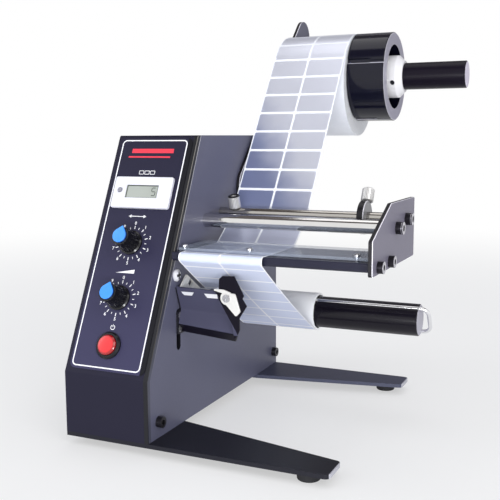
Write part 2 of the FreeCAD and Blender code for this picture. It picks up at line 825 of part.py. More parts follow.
def reel_arm():
    """Flat bar with round ends, bolted to the side plate at 45 degrees."""
    half = arm_width / 2
    length = math.hypot(arm_tip[0] - arm_low[0], arm_tip[1] - arm_low[1])
    bar = block(0, arm_t, 0, length, -half, half)
    bar = fused([bar, rod_x(0, arm_t, 0, 0, half), rod_x(0, arm_t, length, 0, half)])
    bar.rotate(V(0, 0, 0), X_AXIS, math.degrees(math.atan2(arm_tip[1] - arm_low[1], arm_tip[0] - arm_low[0])))
    bar.translate(V(0, arm_low[0], arm_low[1]))
    places = [arm_point(d) for d in arm_bolt_from_low] + [(reel_y, reel_z)]
    return without(bar, screw_holes(places, -1, arm_t + 1, m5[0] + thread_gap))


def reel_shaft():
    profile = [(arm_t, 0), (arm_t, reel_shaft_r), (reel_shaft_end - shaft_chamfer, reel_shaft_r),
               (reel_shaft_end, reel_shaft_r - shaft_chamfer), (reel_shaft_end, 0)]
    shaft = revolved_x(profile, reel_y, reel_z)
    return shaft.cut(rod_x(0, arm_t + rod_tap_depth, reel_y, reel_z, m5[0] + thread_gap))


def roll_core():
    return ring_x(web_left, web_right, reel_y, roll_z, core_r + core_wall, core_r)


def label_roll():
    return ring_x(web_left, web_right, reel_y, roll_z, roll_r, core_r + core_wall)


def roll_stop_ring():
    """Thick stop ring: a web on the roll's side, and an outside stepped into segments."""
    ring = ring_x(ring_left, ring_right, reel_y, reel_z, stop_r, stop_bore_r)
    web = ring_x(ring_left, ring_left + stop_web_t, reel_y, reel_z, stop_bore_r + 1, hub_spigot_r + thread_gap)
    ring = ring.fuse(web).removeSplitter()
    rim = [e for e in ring.Edges if abs(e.CenterOfMass.x - ring_right) < 0.01 and abs(e.Length - 2 * math.pi * stop_r) < 0.01]
    ring = ring.makeChamfer(0.8, rim)
    slot_end = ring_left + stop_length * stop_slot_share
    for i in range(stop_segments):
        groove = block(ring_left - 1, slot_end, -stop_slot_width / 2, stop_slot_width / 2, stop_r - stop_step, stop_r + 1)
        line = block(ring_left - 1, ring_right + 1, -0.5, 0.5, stop_r - stop_step * 0.6, stop_r + 1)
        cutter = groove.fuse(line)
        cutter.rotate(V(0, 0, 0), X_AXIS, 90 - stop_slot_angle - i * 360 / stop_segments)
        cutter.translate(V(0, reel_y, reel_z))
        ring = ring.cut(cutter)
    return ring


def set_screw_line(r0, r1, r):
    """Cylinder along the set screw's line, between two radii from the reel shaft."""
    angle = math.radians(set_screw_drop)
    direction = V(0, -math.cos(angle), -math.sin(angle))
    start = V(ring_right + hub_past_ring / 2, reel_y, reel_z) + direction * r0
    return Part.makeCylinder(r, r1 - r0, start, direction)


def roll_stop_hub():
    """Nylon hub with a spigot in the ring, a conical nose and a set screw hole."""
    bore = reel_shaft_r + collar_bore_gap
    web_right_x = ring_left + stop_web_t
    nose_x = ring_right + hub_past_ring
    profile = [(ring_left + 0.5, bore), (ring_left + 0.5, hub_spigot_r), (web_right_x, hub_spigot_r), (web_right_x, hub_r),
               (nose_x, hub_r), (hub_right, hub_nose_r), (hub_right, bore)]
    hub = revolved_x(profile, reel_y, reel_z)
    return hub.cut(set_screw_line(reel_shaft_r - 1, hub_r + 1, set_screw_r + thread_gap))


def stop_set_screw():
    return set_screw_line(reel_shaft_r + 0.3, hub_r - 1.2, set_screw_r)


# Guide rods

def guide_rod(place, r):
    """Rod with a tapped hole in each end."""
    y, z = place
    profile = [(0, 0), (0, r), (rod_length, r), (rod_length, 0)]
    rod = revolved_x(profile, y, z)
    bore_r = m5[0] + thread_gap
    ends = [rod_x(-1, rod_tap_depth, y, z, bore_r), rod_x(rod_length - rod_tap_depth, rod_length + 1, y, z, bore_r)]
    return without(rod, ends)


def rear_guide_rod():
    """Rear rod, with the cross hole of the left thumbscrew."""
    hole = thumb_line(left_thumb_x, left_thumb_tilt, left_thumb_stem_end - 0.5, 2 * rear_rod_r, thumb_stem_r + thread_gap)
    return guide_rod(rear_rod, rear_rod_r).cut(hole)


def thumb_line(x, tilt, r0, r1, r):
    """Cylinder radial to the rear rod, tilted towards the front."""
    angle = math.radians(tilt)
    direction = V(0, -math.sin(angle), math.cos(angle))
    start = V(x, rear_rod[0], rear_rod[1]) + direction * r0
    return Part.makeCylinder(r, r1 - r0, start, direction)


def guide_collar(x, tilt):
    ring = ring_x(x, x + collar_t, rear_rod[0], rear_rod[1], collar_r, rear_rod_r + collar_bore_gap)
    rims = [e for e in ring.Edges if abs(e.Length - 2 * math.pi * collar_r) < 0.01]
    ring = ring.makeChamfer(0.4, rims)
    return ring.cut(thumb_line(x + collar_t / 2, tilt, 0, collar_r + 2, thumb_stem_r + thread_gap))


def thumbscrew(x, tilt, stem_end, head_low):
    """Knurled thumbscrew with a recess in its top, and a stem towards the rod's axis."""
    head = thumb_line(x, tilt, head_low, head_low + thumb_length, thumb_r)
    rims = [e for e in head.Edges if abs(e.Length - 2 * math.pi * thumb_r) < 0.01]
    head = head.makeChamfer(0.7, rims)
    stem = thumb_line(x, tilt, stem_end, head_low + 1, thumb_stem_r)
    recess = thumb_line(x, tilt, head_low + thumb_length - 1.5, head_low + thumb_length + 1, thumb_r * 0.55)
    return head.fuse(stem).cut(recess)


def left_thumbscrew():
    """Thumbscrew in the rear rod's own cross hole."""
    return thumbscrew(left_thumb_x, left_thumb_tilt, left_thumb_stem_end, rear_rod_r + touch_gap)


def right_thumbscrew():
    """Thumbscrew of the guide collar, which clamps on the rod."""
    return thumbscrew(right_collar_x + collar_t / 2, right_thumb_tilt, rear_rod_r + 0.1, collar_r + 0.1)


def end_plate():
    outline = [(end_plate_front_y, end_plate_low_z), (end_plate_rear_y, end_plate_low_z),
               (end_plate_rear_y, end_plate_top_z), (end_plate_top_y, end_plate_top_z),
               (end_plate_front_y, end_plate_front_z)]
    plate = plate_x(outline, rod_length, end_plate_right, end_plate_corner_r)
    reach = (rod_length - 1, end_plate_right + 1)
    cutters = screw_holes([rear_rod, front_rod], *reach, m5[0] + thread_gap)
    cutters += screw_holes([(y, peel_mid_z) for y in peel_screw_y], *reach, m4[0] + thread_gap)
    return without(plate, cutters)


def end_plate_screws():
    """Socket head screws in both ends of the rods and of the peel plate."""
    screws = []
    for y, z in (rear_rod, front_rod):
        screws.append(socket_screw(end_plate_right, y, z, m5, end_plate_t + rod_tap_depth - 2, 1))
        screws.append(socket_screw(-side_plate_t, y, z, m5, side_plate_t + rod_tap_depth - 2, -1))
    for y in peel_screw_y:
        screws.append(socket_screw(end_plate_right, y, peel_mid_z, m4, end_plate_t + rod_tap_depth - 2, 1))
    for y in peel_inner_screw_y:
        screws.append(socket_screw(-side_plate_t, y, peel_mid_z, m4, side_plate_t + rod_tap_depth - 2, -1))
    return screws


# Peel plate and presser strip

def peel_plate():
    """Plate with a small round nose, over which the liner is pulled so that labels come off."""
    low_z = peel_top_z - peel_t
    outline = [(peel_front_y, low_z + peel_underside_cut), (peel_front_y + peel_underside_cut, low_z),
               (peel_rear_y, low_z), (peel_rear_y, peel_top_z), (peel_front_y, peel_top_z)]
    plate = plate_x(outline, 0, rod_length, [0, 0, 0.5, 1.2, peel_nose_r])
    cutters = []
    for y in peel_inner_screw_y:
        cutters.append(rod_x(-1, rod_tap_depth, y, peel_mid_z, m4[0] + thread_gap))
    for y in peel_screw_y:
        cutters.append(rod_x(rod_length - rod_tap_depth, rod_length + 1, y, peel_mid_z, m4[0] + thread_gap))
    for x in strip_screw_x:
        cutters.append(Part.makeCylinder(1.25 + thread_gap, 8, V(x, strip_screw_y, peel_top_z - 4)))
    return without(plate, cutters)


def strip_low_z():
    return peel_top_z + web_t + 0.1


def presser_strip():
    corners = [(strip_inset, strip_front_y), (rod_length - strip_inset, strip_front_y),
               (rod_length - strip_inset, strip_rear_y), (strip_inset, strip_rear_y)]
    low = strip_low_z()
    strip = plate_z(corners, low, low + strip_t, 2.0)
    holes = [Part.makeCylinder(1.25 + thread_gap, 6, V(x, strip_screw_y, low - 1)) for x in strip_screw_x + strip_stud_x]
    return without(strip, holes)


def presser_screws():
    """Two screws into the peel plate outside the web, and a short one that only bears on the web."""
    screws = []
    top = strip_low_z() + strip_t
    for x in strip_screw_x + strip_stud_x:
        low = peel_top_z - 3.5 if x in strip_screw_x else strip_low_z() + 0.05
        head = revolved_z([(0, top), (2.3, top), (2.3, top + 0.9), (1.6, top + 1.6), (0, top + 1.6)])
        shank = Part.makeCylinder(1.25, top - low + 0.2, V(0, 0, low))
        screw = head.fuse(shank).removeSplitter()
        screw.translate(V(x, strip_screw_y, 0))
        screws.append(screw)
    return screws


# Label web and liner

def loose_turn_z():
    """Height of the centre of the roll's loose outer turn, which rests on the roll's top."""
    return roll_z + roll_r + soft_gap - web_loose_r


def cross_tangent():
    """Tangent that crosses from behind the rear rod to the front of the roll's loose outer turn."""
    rod_r = rear_rod_r + web_gap + web_t / 2
    big_r = web_loose_r + web_t / 2
    dy = reel_y - rear_rod[0]
    dz = loose_turn_z() - rear_rod[1]
    distance = math.hypot(dy, dz)
    line = math.atan2(dz, dy) + math.asin((rod_r + big_r) / distance)
    side = (math.sin(line), -math.cos(line))
    low = (rear_rod[0] + rod_r * side[0], rear_rod[1] + rod_r * side[1])
    high = (reel_y - big_r * side[0], loose_turn_z() - big_r * side[1])
    return low, high, line


def rod_exit():
    """Where the web leaves the underside of the rear rod for the peel plate's rear edge."""
    rod_r = rear_rod_r + web_gap + web_t / 2
    target = (peel_rear_y + 0.6, peel_top_z + web_t / 2)
    dy = rear_rod[0] - target[0]
    dz = rear_rod[1] - target[1]
    distance = math.hypot(dy, dz)
    line = math.atan2(dz, dy) - math.asin(rod_r / distance)
    side = (math.sin(line), -math.cos(line))
    return (rear_rod[0] + rod_r * side[0], rear_rod[1] + rod_r * side[1]), target, line


def sheet_between(profile, x0, x1):
    """Sheet from a closed (y, z) profile made of line and arc pieces."""
    edges = []
    for piece in profile:
        corners = [V(x0, y, z) for y, z in piece]
        edges.append(Part.Arc(*corners).toShape() if len(corners) == 3 else Part.makeLine(*corners))
    return Part.Face(Part.Wire(edges)).extrude(V(x1 - x0, 0, 0))


def polar(centre, r, angle):
    return (centre[0] + r * math.cos(angle), centre[1] + r * math.sin(angle))


def label_web():
    """Web from the roll's loose turn behind and under the rear rod, then flat over the peel plate to its nose."""
    low, high, line = cross_tangent()
    out, target, line2 = rod_exit()
    r_in = rear_rod_r + web_gap
    r_out = r_in + web_t
    half = web_t / 2
    start = line - math.pi / 2
    stop = line2 - math.pi / 2
    middle = (start + stop) / 2
    away = (math.sin(line), -math.cos(line))
    away2 = (math.sin(line2), -math.cos(line2))
    high_in = (high[0] - half * away[0], high[1] - half * away[1])
    high_out = (high[0] + half * away[0], high[1] + half * away[1])
    end_in = (target[0] - half * away2[0], target[1] - half * away2[1])
    end_out = (target[0] + half * away2[0], target[1] + half * away2[1])
    inner = [polar(rear_rod, r_in, a) for a in (start, middle, stop)]
    outer = [polar(rear_rod, r_out, a) for a in (stop, middle, start)]
    turn = (reel_y, loose_turn_z())
    turn_angles = (line + math.pi / 2, line / 2 + math.pi / 2, math.pi / 2)
    turn_in = [high_out] + [polar(turn, web_loose_r, a) for a in turn_angles[1:]]
    turn_out = [polar(turn, web_loose_r + web_t, a) for a in turn_angles[:0:-1]] + [high_in]
    profile = [(high_in, inner[0]), tuple(inner), (inner[2], end_in), (end_in, end_out), (end_out, outer[0]),
               tuple(outer), (outer[2], high_out), tuple(turn_in), (turn_in[2], turn_out[0]), tuple(turn_out)]
    hanging = sheet_between(profile, web_left, web_right)
    flat = block(web_left, web_right, peel_front_y - liner_t, target[0] + web_t, peel_top_z + touch_gap, peel_top_z + web_t)
    return fused([hanging, flat])


def liner_tangent(start):
    """Point under the wound liner where the returning liner reaches it, and the line to it from a start."""
    r = liner_roll_r + soft_gap + liner_t
    dy = rewind_y - start[0]
    dz = rewind_z - start[1]
    line = math.atan2(dz, dy) - math.asin(r / math.hypot(dy, dz))
    return (rewind_y + r * math.sin(line), rewind_z - r * math.cos(line)), line


def liner_return():
    """Bare liner: a loose loop round the plate's nose, then back under the wound liner."""
    centre = (peel_front_y, peel_top_z + touch_gap + liner_t - nose_loop_r)
    loop_start = math.pi / 2 + math.asin((liner_t + touch_gap) / nose_loop_r)
    loop_end = math.radians(nose_loop_end)
    angles = (loop_start, (loop_start + loop_end) / 2, loop_end)
    outer = [polar(centre, nose_loop_r, a) for a in angles]
    inner = [polar(centre, nose_loop_r - liner_t, a) for a in angles]
    end, line = liner_tangent(outer[2])
    side = (-math.sin(line) * liner_t, math.cos(line) * liner_t)
    low = outer[2]
    share = (liner_mid_y - low[0]) / (end[0] - low[0])
    middle = (liner_mid_y, low[1] + (end[1] - low[1]) * share - liner_mid_sag)
    middle_in = (middle[0] + side[0], middle[1] + side[1])
    end_in = (end[0] + side[0], end[1] + side[1])
    profile = [tuple(outer), (low, middle, end), (end, end_in), (end_in, middle_in, inner[2]), tuple(inner[::-1]),
               (inner[0], outer[0])]
    return sheet_between(profile, web_left, web_right)


# Rewind drive

def rewind_bearing():
    """Flanged bush in the side plate."""
    profile = [(-side_plate_t - bearing_tail, journal_r + run_gap), (-side_plate_t - bearing_tail, bearing_r), (0, bearing_r),
               (0, bearing_flange_r), (bearing_flange_t, bearing_flange_r), (bearing_flange_t, journal_r + run_gap)]
    return revolved_x(profile, rewind_y, rewind_z)


def clip_leg_place(side, r):
    angle = math.radians(clip_angle)
    return (rewind_y - side * r * math.sin(angle), rewind_z + side * r * math.cos(angle))


def rewind_shaft():
    """Drum with a thin journal, bored for the motor's shaft, and grooved for the clip's legs."""
    shoulder = bearing_flange_t + 0.3
    profile = [(-side_plate_t - bearing_tail, output_shaft_r + thread_gap), (-side_plate_t - bearing_tail, journal_r),
               (shoulder, journal_r), (shoulder, rewind_r), (rewind_end - shaft_chamfer, rewind_r),
               (rewind_end, rewind_r - shaft_chamfer), (rewind_end, 0), (output_shaft_in + 1, 0),
               (output_shaft_in + 1, output_shaft_r + thread_gap)]
    shaft = revolved_x(profile, rewind_y, rewind_z)
    cutters = []
    for side in (-1, 1):
        y, z = clip_leg_place(side, clip_leg_r)
        cutters.append(rod_x(clip_start - 1, rewind_end + 1, y, z, clip_wire_r + groove_gap))
        half = clip_wire_r + groove_gap
        slot = block(clip_start - 1, rewind_end + 1, -half, half, clip_leg_r, rewind_r + 1)
        slot.rotate(V(0, 0, 0), X_AXIS, clip_angle + (0 if side > 0 else 180))
        slot.translate(V(0, rewind_y, rewind_z))
        cutters.append(slot)
    return without(shaft, cutters)


def motor_output_shaft():
    return rod_x(-side_plate_t - gearbox_length + 2, output_shaft_in, rewind_y, rewind_z, output_shaft_r)


def rewind_clip():
    """Wire clip: two legs along the drum joined by a squared loop past its end."""
    end_x = rewind_end + clip_reach
    bend_x = end_x - clip_bend_r
    flat = clip_leg_r - clip_bend_r
    corner = clip_bend_r * (1 - math.cos(math.radians(45)))
    legs = []
    path = [Part.makeLine(V(clip_start, 0, clip_leg_r), V(bend_x, 0, clip_leg_r)),
            Part.Arc(V(bend_x, 0, clip_leg_r), V(end_x - corner, 0, clip_leg_r - corner), V(end_x, 0, flat)).toShape(),
            Part.makeLine(V(end_x, 0, flat), V(end_x, 0, -flat)),
            Part.Arc(V(end_x, 0, -flat), V(end_x - corner, 0, corner - clip_leg_r), V(bend_x, 0, -clip_leg_r)).toShape(),
            Part.makeLine(V(bend_x, 0, -clip_leg_r), V(clip_start, 0, -clip_leg_r))]
    legs.append(Part.Wire(Part.makeCircle(clip_wire_r, V(clip_start, 0, clip_leg_r), X_AXIS)))
    clip = Part.Wire(path).makePipeShell(legs, True, False)
    clip.rotate(V(0, 0, 0), X_AXIS, clip_angle)
    clip.translate(V(0, rewind_y, rewind_z))
    return clip


def liner_roll():
    return ring_x(web_left, web_right, rewind_y, rewind_z, liner_roll_r, liner_roll_bore_r)


def gear_motor():
    """Gearbox with a pocket for the bush, and the motor can with its terminals."""
    face = -side_plate_t
    back = face - gearbox_length
    gearbox = rod_x(back, face, rewind_y, rewind_z, gearbox_r)
    can = rod_x(back - motor_length, back, rewind_y, rewind_z, motor_r)
    boss = rod_x(back - motor_length - 2, back, rewind_y, rewind_z, 5)
    motor = fused([gearbox, can, boss])
    pocket = rod_x(face - gearbox_pocket, face + 1, rewind_y, rewind_z, bearing_r + 0.3)
    bore = rod_x(back + 1, face, rewind_y, rewind_z, output_shaft_r + run_gap)
    holes = [countersunk_screw(y, z, touch_gap) for y, z in motor_screw_places()]
    return without(motor, [pocket, bore] + holes)


def motor_screws():
    return [countersunk_screw(y, z) for y, z in motor_screw_places()]


# Label sensing tray

def sensor_bracket():
    """Carrier plate that slides on the side plate, clamped through the upright slot."""
    plate = plate_x(bracket_outline, *bracket_x, 0.8)
    cutters = screw_holes([(slot_y, z) for z in clamp_screw_z], -1, 3, clamp_shank_r + thread_gap)
    cutters += screw_holes(stack_screws, -1, 3, m3[0] + thread_gap)
    return without(plate, cutters)


def tray_section(profile, x):
    """Closed outline of the tray's sheet at one x, with its bends."""
    rear = [(y + tray_t, z + shift) for (y, z), shift in zip(profile, (0.4, 0.0, 0.3, 0.9))]
    points = [V(x, y, z) for y, z in profile + tuple(rear[::-1])]
    return rounded_outline(points, tray_bend_r + tray_bend_r[::-1])


def label_tray():
    """Bent sheet that falls to the right: a dished face with two lanced windows, a curved end wall, an ear."""
    x0 = tray_flange_x[0]
    sections = [tray_section(tray_left_profile, x0), tray_section(tray_right_profile, tray_lip_right)]
    sheet = Part.makeLoft(sections, True, True)
    low_z = tray_lip_corner[1]
    keep = plate_y([(x0, low_z), (x0, 104)] + [(tray_right, 104)] + list(tray_edge[1:]) + [tray_lip_corner], 30, 60)
    sheet = sheet.common(keep)
    wall = plate_y(list(tray_edge) + [(x + tray_t, z) for x, z in reversed(tray_edge)], ear_y, 56)
    front = tray_right_profile
    rear = [(y + tray_t / 2, z) for y, z in front]
    wall = wall.cut(plate_x(rear + [(70, rear[3][1]), (70, 120), (rear[0][0], 120)], 0, 60))
    below = [(30, low_z - 5), (front[3][0], low_z - 5), front[3], front[2], (30, front[2][1])]
    wall = wall.cut(plate_x(below, 0, 60))
    ear = plate_y(ear_outline, ear_y, ear_y + ear_t)
    flange_front = [(y + tray_t / 2, z) for y, z in tray_left_profile]
    flange = plate_x(flange_front + list(tray_flange_rear), *tray_flange_x)
    tray = fused([sheet, wall, ear, flange])
    cutters = [plate_y(outline, 36, 52) for outline in (tray_window_left, tray_window_right)]
    left, right, low = tray_notch
    cutters.append(block(left, right, 36, ear_y + 4, low, 104))
    cutters += screw_holes(stack_screws, 0, 6, m3[0] + thread_gap)
    cutters.append(Part.makeCylinder(m3[0] + thread_gap, 6, V(lever_pivot[0], ear_y - 1, lever_pivot[1]), Y_AXIS))
    return without(tray, cutters)


def switch_box():
    """Left, right, front, back, bottom and top of the micro switch's case."""
    right = lever_tail_x + 2.4
    return (right - switch_size[0], right, switch_front_y, switch_front_y + switch_size[1], switch_low_z,
            switch_low_z + switch_size[2])


def switch_screw_places():
    x0, x1, _, _, z0, _ = switch_box()
    return [(x0 + 2.6, z0 + 2.8), (x1 - 2.6, z0 + 2.8)]


def switch_plate():
    """Plated angle: a cheek against the tray's flange and a shelf behind the micro switch."""
    cheek = plate_x(switch_cheek_outline, *switch_plate_x, 0.6)
    x0, x1, _, back, z0, z1 = switch_box()
    shelf = block(switch_plate_x[0], x1, back + touch_gap, back + touch_gap + shelf_t, z0, z1 - 0.4)
    plate = fused([cheek, shelf])
    y, z, size = switch_cheek_window
    window = block(0, 8, -size / 2, size / 2, -size / 2, size / 2)
    window.rotate(V(0, 0, 0), X_AXIS, 45)
    window.translate(V(0, y, z))
    cutters = [window] + screw_holes(stack_screws, 0, 6, m3[0] + thread_gap)
    for x, z in switch_screw_places():
        cutters.append(Part.makeCylinder(1.0 + thread_gap, 10, V(x, back - 2, z), Y_AXIS))
    return without(plate, cutters)


def plunger_block(low, high, grow):
    """Box on the plunger's line, between two heights from the case's top."""
    _, _, y0, y1, _, z1 = switch_box()
    middle_x = lever_tail_x + lever_tab_width / 2
    middle_y = (y0 + y1) / 2
    half_x = plunger_size[0] / 2 + grow
    half_y = plunger_size[1] / 2 + grow
    return block(middle_x - half_x, middle_x + half_x, middle_y - half_y, middle_y + half_y, z1 + low, z1 + high)


def switch_plunger():
    return plunger_block(-plunger_depth, plunger_proud, 0)


def micro_switch():
    """Case with a well for its plunger and three terminals below."""
    x0, x1, y0, y1, z0, z1 = switch_box()
    case = block(x0, x1, y0, y1, z0, z1)
    middle_y = (y0 + y1) / 2
    pins = [block(x0 + 1.5 + i * 4, x0 + 2.1 + i * 4, middle_y - 1, middle_y + 1, z0 - 3.5, z0 + 1) for i in range(3)]
    switch = fused([case] + pins)
    holes = [plunger_block(-plunger_depth - plunger_travel - soft_gap, 2 * plunger_proud, plunger_gap)]
    for x, z in switch_screw_places():
        holes.append(Part.makeCylinder(1.0 + thread_gap, 12, V(x, y0 - 2, z), Y_AXIS))
    return without(switch, holes)


def sensor_screws():
    """Clamp screws through the slot, stack screws, switch screws and the lever's pivot screw."""
    screws = []
    for z in clamp_screw_z:
        head = rod_x(-side_plate_t - touch_gap - 3.2, -side_plate_t - touch_gap, slot_y, z, 4.2)
        screws.append(head.fuse(rod_x(-side_plate_t - 1, bracket_x[1], slot_y, z, clamp_shank_r)))
    stack_right = switch_plate_x[1]
    for (y, z), face in zip(stack_screws, (stack_right, tray_flange_x[1])):
        screws.append(socket_screw(face, y, z, m3, face - bracket_x[0], 1))
    _, _, y0, y1, _, _ = switch_box()
    for x, z in switch_screw_places():
        head = Part.makeCylinder(1.9, 1.2, V(x, y0 - 1.2, z), Y_AXIS)
        screws.append(head.fuse(Part.makeCylinder(1.0, y1 - y0 + shelf_t + 0.5, V(x, y0, z), Y_AXIS)))
    x, z = lever_pivot
    lever_front = ear_y - lever_gap - lever_t
    head = Part.makeCylinder(2.6, 1.3, V(x, lever_front - 1.35, z), Y_AXIS)
    slot = block(x - 0.35, x + 0.35, lever_front - 2, lever_front - 0.8, z - 3, z + 3)
    shank = Part.makeCylinder(m3[0], ear_y + ear_t - lever_front + 1.2, V(x, lever_front - 0.1, z), Y_AXIS)
    screws.append(head.cut(slot).fuse(shank))
    return screws


def sensing_lever():
    """Plated lever: a round hub, a broad finger down to the right and a thin tail over the switch."""
    y1 = ear_y - lever_gap
    y0 = y1 - lever_t
    px, pz = lever_pivot
    hub = Part.makeCylinder(lever_hub_r, lever_t, V(px, y0, pz), Y_AXIS)
    finger = plate_y(lever_finger, y0, y1, [0.4, 1.6, 1.2, 1.2, 0.4])
    tail = plate_y(lever_tail, y0, y1)
    tab = block(lever_tail_x, lever_tail_x + lever_tab_width, y0, switch_front_y + 4.4, *lever_tab_z)
    lever = fused([hub, finger, tail, tab])
    return lever.cut(Part.makeCylinder(m3[0] + run_gap, 6, V(px, y0 - 2, pz), Y_AXIS))


# Electronics

def control_board():
    """Board on the base plate's bosses, with its larger components."""
    size_x, size_y, size_z = board_size
    x0 = board_centre[0] - size_x / 2
    y0 = board_centre[1] - size_y / 2
    z0 = sheet_t + board_boss_h
    top = z0 + size_z
    board = block(x0, x0 + size_x, y0, y0 + size_y, z0, top)
    for (left, right), (front, back), height in (board_relay, board_terminals, board_heat_sink):
        board = board.fuse(block(x0 + left, x0 + right, y0 + front, y0 + back, top - 0.2, top + height))
    for x, y in board_capacitors:
        board = board.fuse(Part.makeCylinder(*board_capacitor, V(x0 + x, y0 + y, top - 0.2)))
    holes = [Part.makeCylinder(1.6, 6, V(x, y, z0 - 1)) for x, y in board_holes()]
    return without(board.removeSplitter(), holes)


def power_inlet():
    """Round low-voltage socket in the rear cover, with its centre pin."""
    outer = box_depth + 2.0
    flange = Part.makeCylinder(inlet_flange_r, 2.0, V(inlet_x, box_depth, inlet_z), Y_AXIS)
    body = Part.makeCylinder(inlet_r, 16, V(inlet_x, box_depth - 15, inlet_z), Y_AXIS)
    nut = hexagon(inlet_r + 2.4, 0, 2.4)
    nut.rotate(V(0, 0, 0), X_AXIS, -90)
    nut.translate(V(inlet_x, box_depth - sheet_t - 2.4, inlet_z))
    inlet = fused([flange, body, nut])
    bore = Part.makeCylinder(inlet_bore_r, inlet_bore_depth + 1, V(inlet_x, outer - inlet_bore_depth, inlet_z), Y_AXIS)
    pin = Part.makeCylinder(inlet_pin_r, inlet_bore_depth - 1, V(inlet_x, outer - inlet_bore_depth - 0.5, inlet_z), Y_AXIS)
    return inlet.cut(bore).fuse(pin)


# All pieces by name

def all_parts():
    return {
        "right_side_plate": right_side_plate(),
        "left_side_cover": left_side_cover(),
        "panel_shell": panel_shell(),
        "rear_cover": rear_cover(),
        "base_plate": base_plate(),
        "front_leg": front_leg(),
        "rear_leg": rear_leg(),
        "leg_bolts": leg_bolts(),
        "rubber_feet": rubber_feet(),
        "side_plate_screws": side_plate_screws(),
        "cover_screws": cover_screws(),
        "panel_overlay": panel_overlay(),
        "counter_housing": counter_housing(),
        "counter_display": counter_display(),
        "counter_reset_button": counter_reset_button(),
        "potentiometers": potentiometers(),
        "length_pot_shaft": pot_shaft(length_dial_s),
        "length_knob": knob(length_dial_s),
        "length_knob_cap": knob_cap(length_dial_s),
        "speed_pot_shaft": pot_shaft(speed_dial_s),
        "speed_knob": knob(speed_dial_s),
        "speed_knob_cap": knob_cap(speed_dial_s),
        "power_switch": power_switch(),
        "power_button": power_button(),
        "reel_arm": reel_arm(),
        "reel_shaft": reel_shaft(),
        "roll_core": roll_core(),
        "label_roll": label_roll(),
        "roll_stop_ring": roll_stop_ring(),
        "roll_stop_hub": roll_stop_hub(),
        "stop_set_screw": stop_set_screw(),
        "rear_guide_rod": rear_guide_rod(),
        "front_guide_rod": guide_rod(front_rod, front_rod_r),
        "left_thumbscrew": left_thumbscrew(),
        "right_guide_collar": guide_collar(right_collar_x, right_thumb_tilt),
        "right_thumbscrew": right_thumbscrew(),
        "end_plate": end_plate(),
        "end_plate_screws": end_plate_screws(),
        "peel_plate": peel_plate(),
        "presser_strip": presser_strip(),
        "presser_screws": presser_screws(),
        "label_web": label_web(),
        "liner_return": liner_return(),
        "rewind_bearing": rewind_bearing(),
        "rewind_shaft": rewind_shaft(),
        "motor_output_shaft": motor_output_shaft(),
        "rewind_clip": rewind_clip(),
        "liner_roll": liner_roll(),
        "gear_motor": gear_motor(),
        "motor_screws": motor_screws(),
        "sensor_bracket": sensor_bracket(),
        "label_tray": label_tray(),
        "sensing_lever": sensing_lever(),
        "switch_plate": switch_plate(),
        "micro_switch": micro_switch(),
        "switch_plunger": switch_plunger(),
        "sensor_screws": sensor_screws(),
        "control_board": control_board(),
        "power_inlet": power_inlet(),
    }


def footprint_origin(shapes):
    """Centre of the whole machine's box, at floor level."""
    box = FreeCAD.BoundBox()
    for shape in shapes:
        box.add(shape.optimalBoundingBox(False))
    return V(box.Center.x, box.Center.y, box.ZMin)


def main():
    os.makedirs("parts", exist_ok=True)
    shapes = {}
    for name, shape in all_parts().items():
        shapes[name] = Part.makeCompound(shape) if isinstance(shape, list) else shape
    origin = footprint_origin(shapes.values())
    print("origin", round(origin.x, 4), round(origin.y, 4), round(origin.z, 4))
    for name, shape in shapes.items():
        moved = shape.copy()
        moved.translate(origin * -1)
        moved.exportStep(os.path.join("parts", name + ".step"))
        print(name, "solids", len(moved.Solids), "valid", moved.isValid(), "volume", round(moved.Volume, 1))


main()
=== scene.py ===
"""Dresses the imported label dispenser: finishes, printed marks, label web, studio and camera."""
import logging
import math
from dataclasses import dataclass
from enum import Enum
from typing import Sequence

import bmesh
import bpy
from mathutils import Matrix, Vector


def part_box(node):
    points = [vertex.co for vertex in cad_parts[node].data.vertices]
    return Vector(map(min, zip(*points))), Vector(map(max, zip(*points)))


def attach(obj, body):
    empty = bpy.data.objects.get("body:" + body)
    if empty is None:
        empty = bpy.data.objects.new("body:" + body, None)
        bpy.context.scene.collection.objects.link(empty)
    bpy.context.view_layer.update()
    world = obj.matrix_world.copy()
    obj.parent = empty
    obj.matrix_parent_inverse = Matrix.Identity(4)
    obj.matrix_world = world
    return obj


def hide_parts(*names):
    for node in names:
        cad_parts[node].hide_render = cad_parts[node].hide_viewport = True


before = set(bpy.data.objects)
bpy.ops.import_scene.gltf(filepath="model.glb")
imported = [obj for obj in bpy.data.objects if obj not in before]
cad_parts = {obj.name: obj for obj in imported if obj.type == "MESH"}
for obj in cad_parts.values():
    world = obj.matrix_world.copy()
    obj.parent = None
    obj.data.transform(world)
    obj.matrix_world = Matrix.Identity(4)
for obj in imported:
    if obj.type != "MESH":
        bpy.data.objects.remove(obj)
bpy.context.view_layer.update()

Colour = tuple[float, float, float]
Point = tuple[float, float]
Sockets = dict[str, object]

log = logging.getLogger("label_dispenser")
MM = 0.001
WHITE = (1.0, 1.0, 1.0)
BLACK = (0.0, 0.0, 0.0)
SHARP_ANGLE = 32.0
FLAT_ANGLE = 0.6
CAD_MERGE = 2e-6
ROLL_MERGE = 1e-6
MARK_MERGE = 1e-7
COAT_ROUGHNESS = 0.08
# width of the painted highlight at the legs' right ends
LEG_HIGHLIGHT = 0.7 * MM
WEB_WIDTH = 61.7
LABEL_PITCH = 18.0
# black of the joints, also used as painted shade on the side plate's cut edges
JOINT_AND_SHADE_BLACK = (0.006, 0.006, 0.009)
SLOPE_FOOT_Z = 43.0
SLOPE_TOP = (77.0, 204.6)
SLOPE = math.atan2(SLOPE_TOP[1] - SLOPE_FOOT_Z, SLOPE_TOP[0])
REAR_ROD = (112.8, 146.2)
REEL_AXIS = (243.0, 253.0)


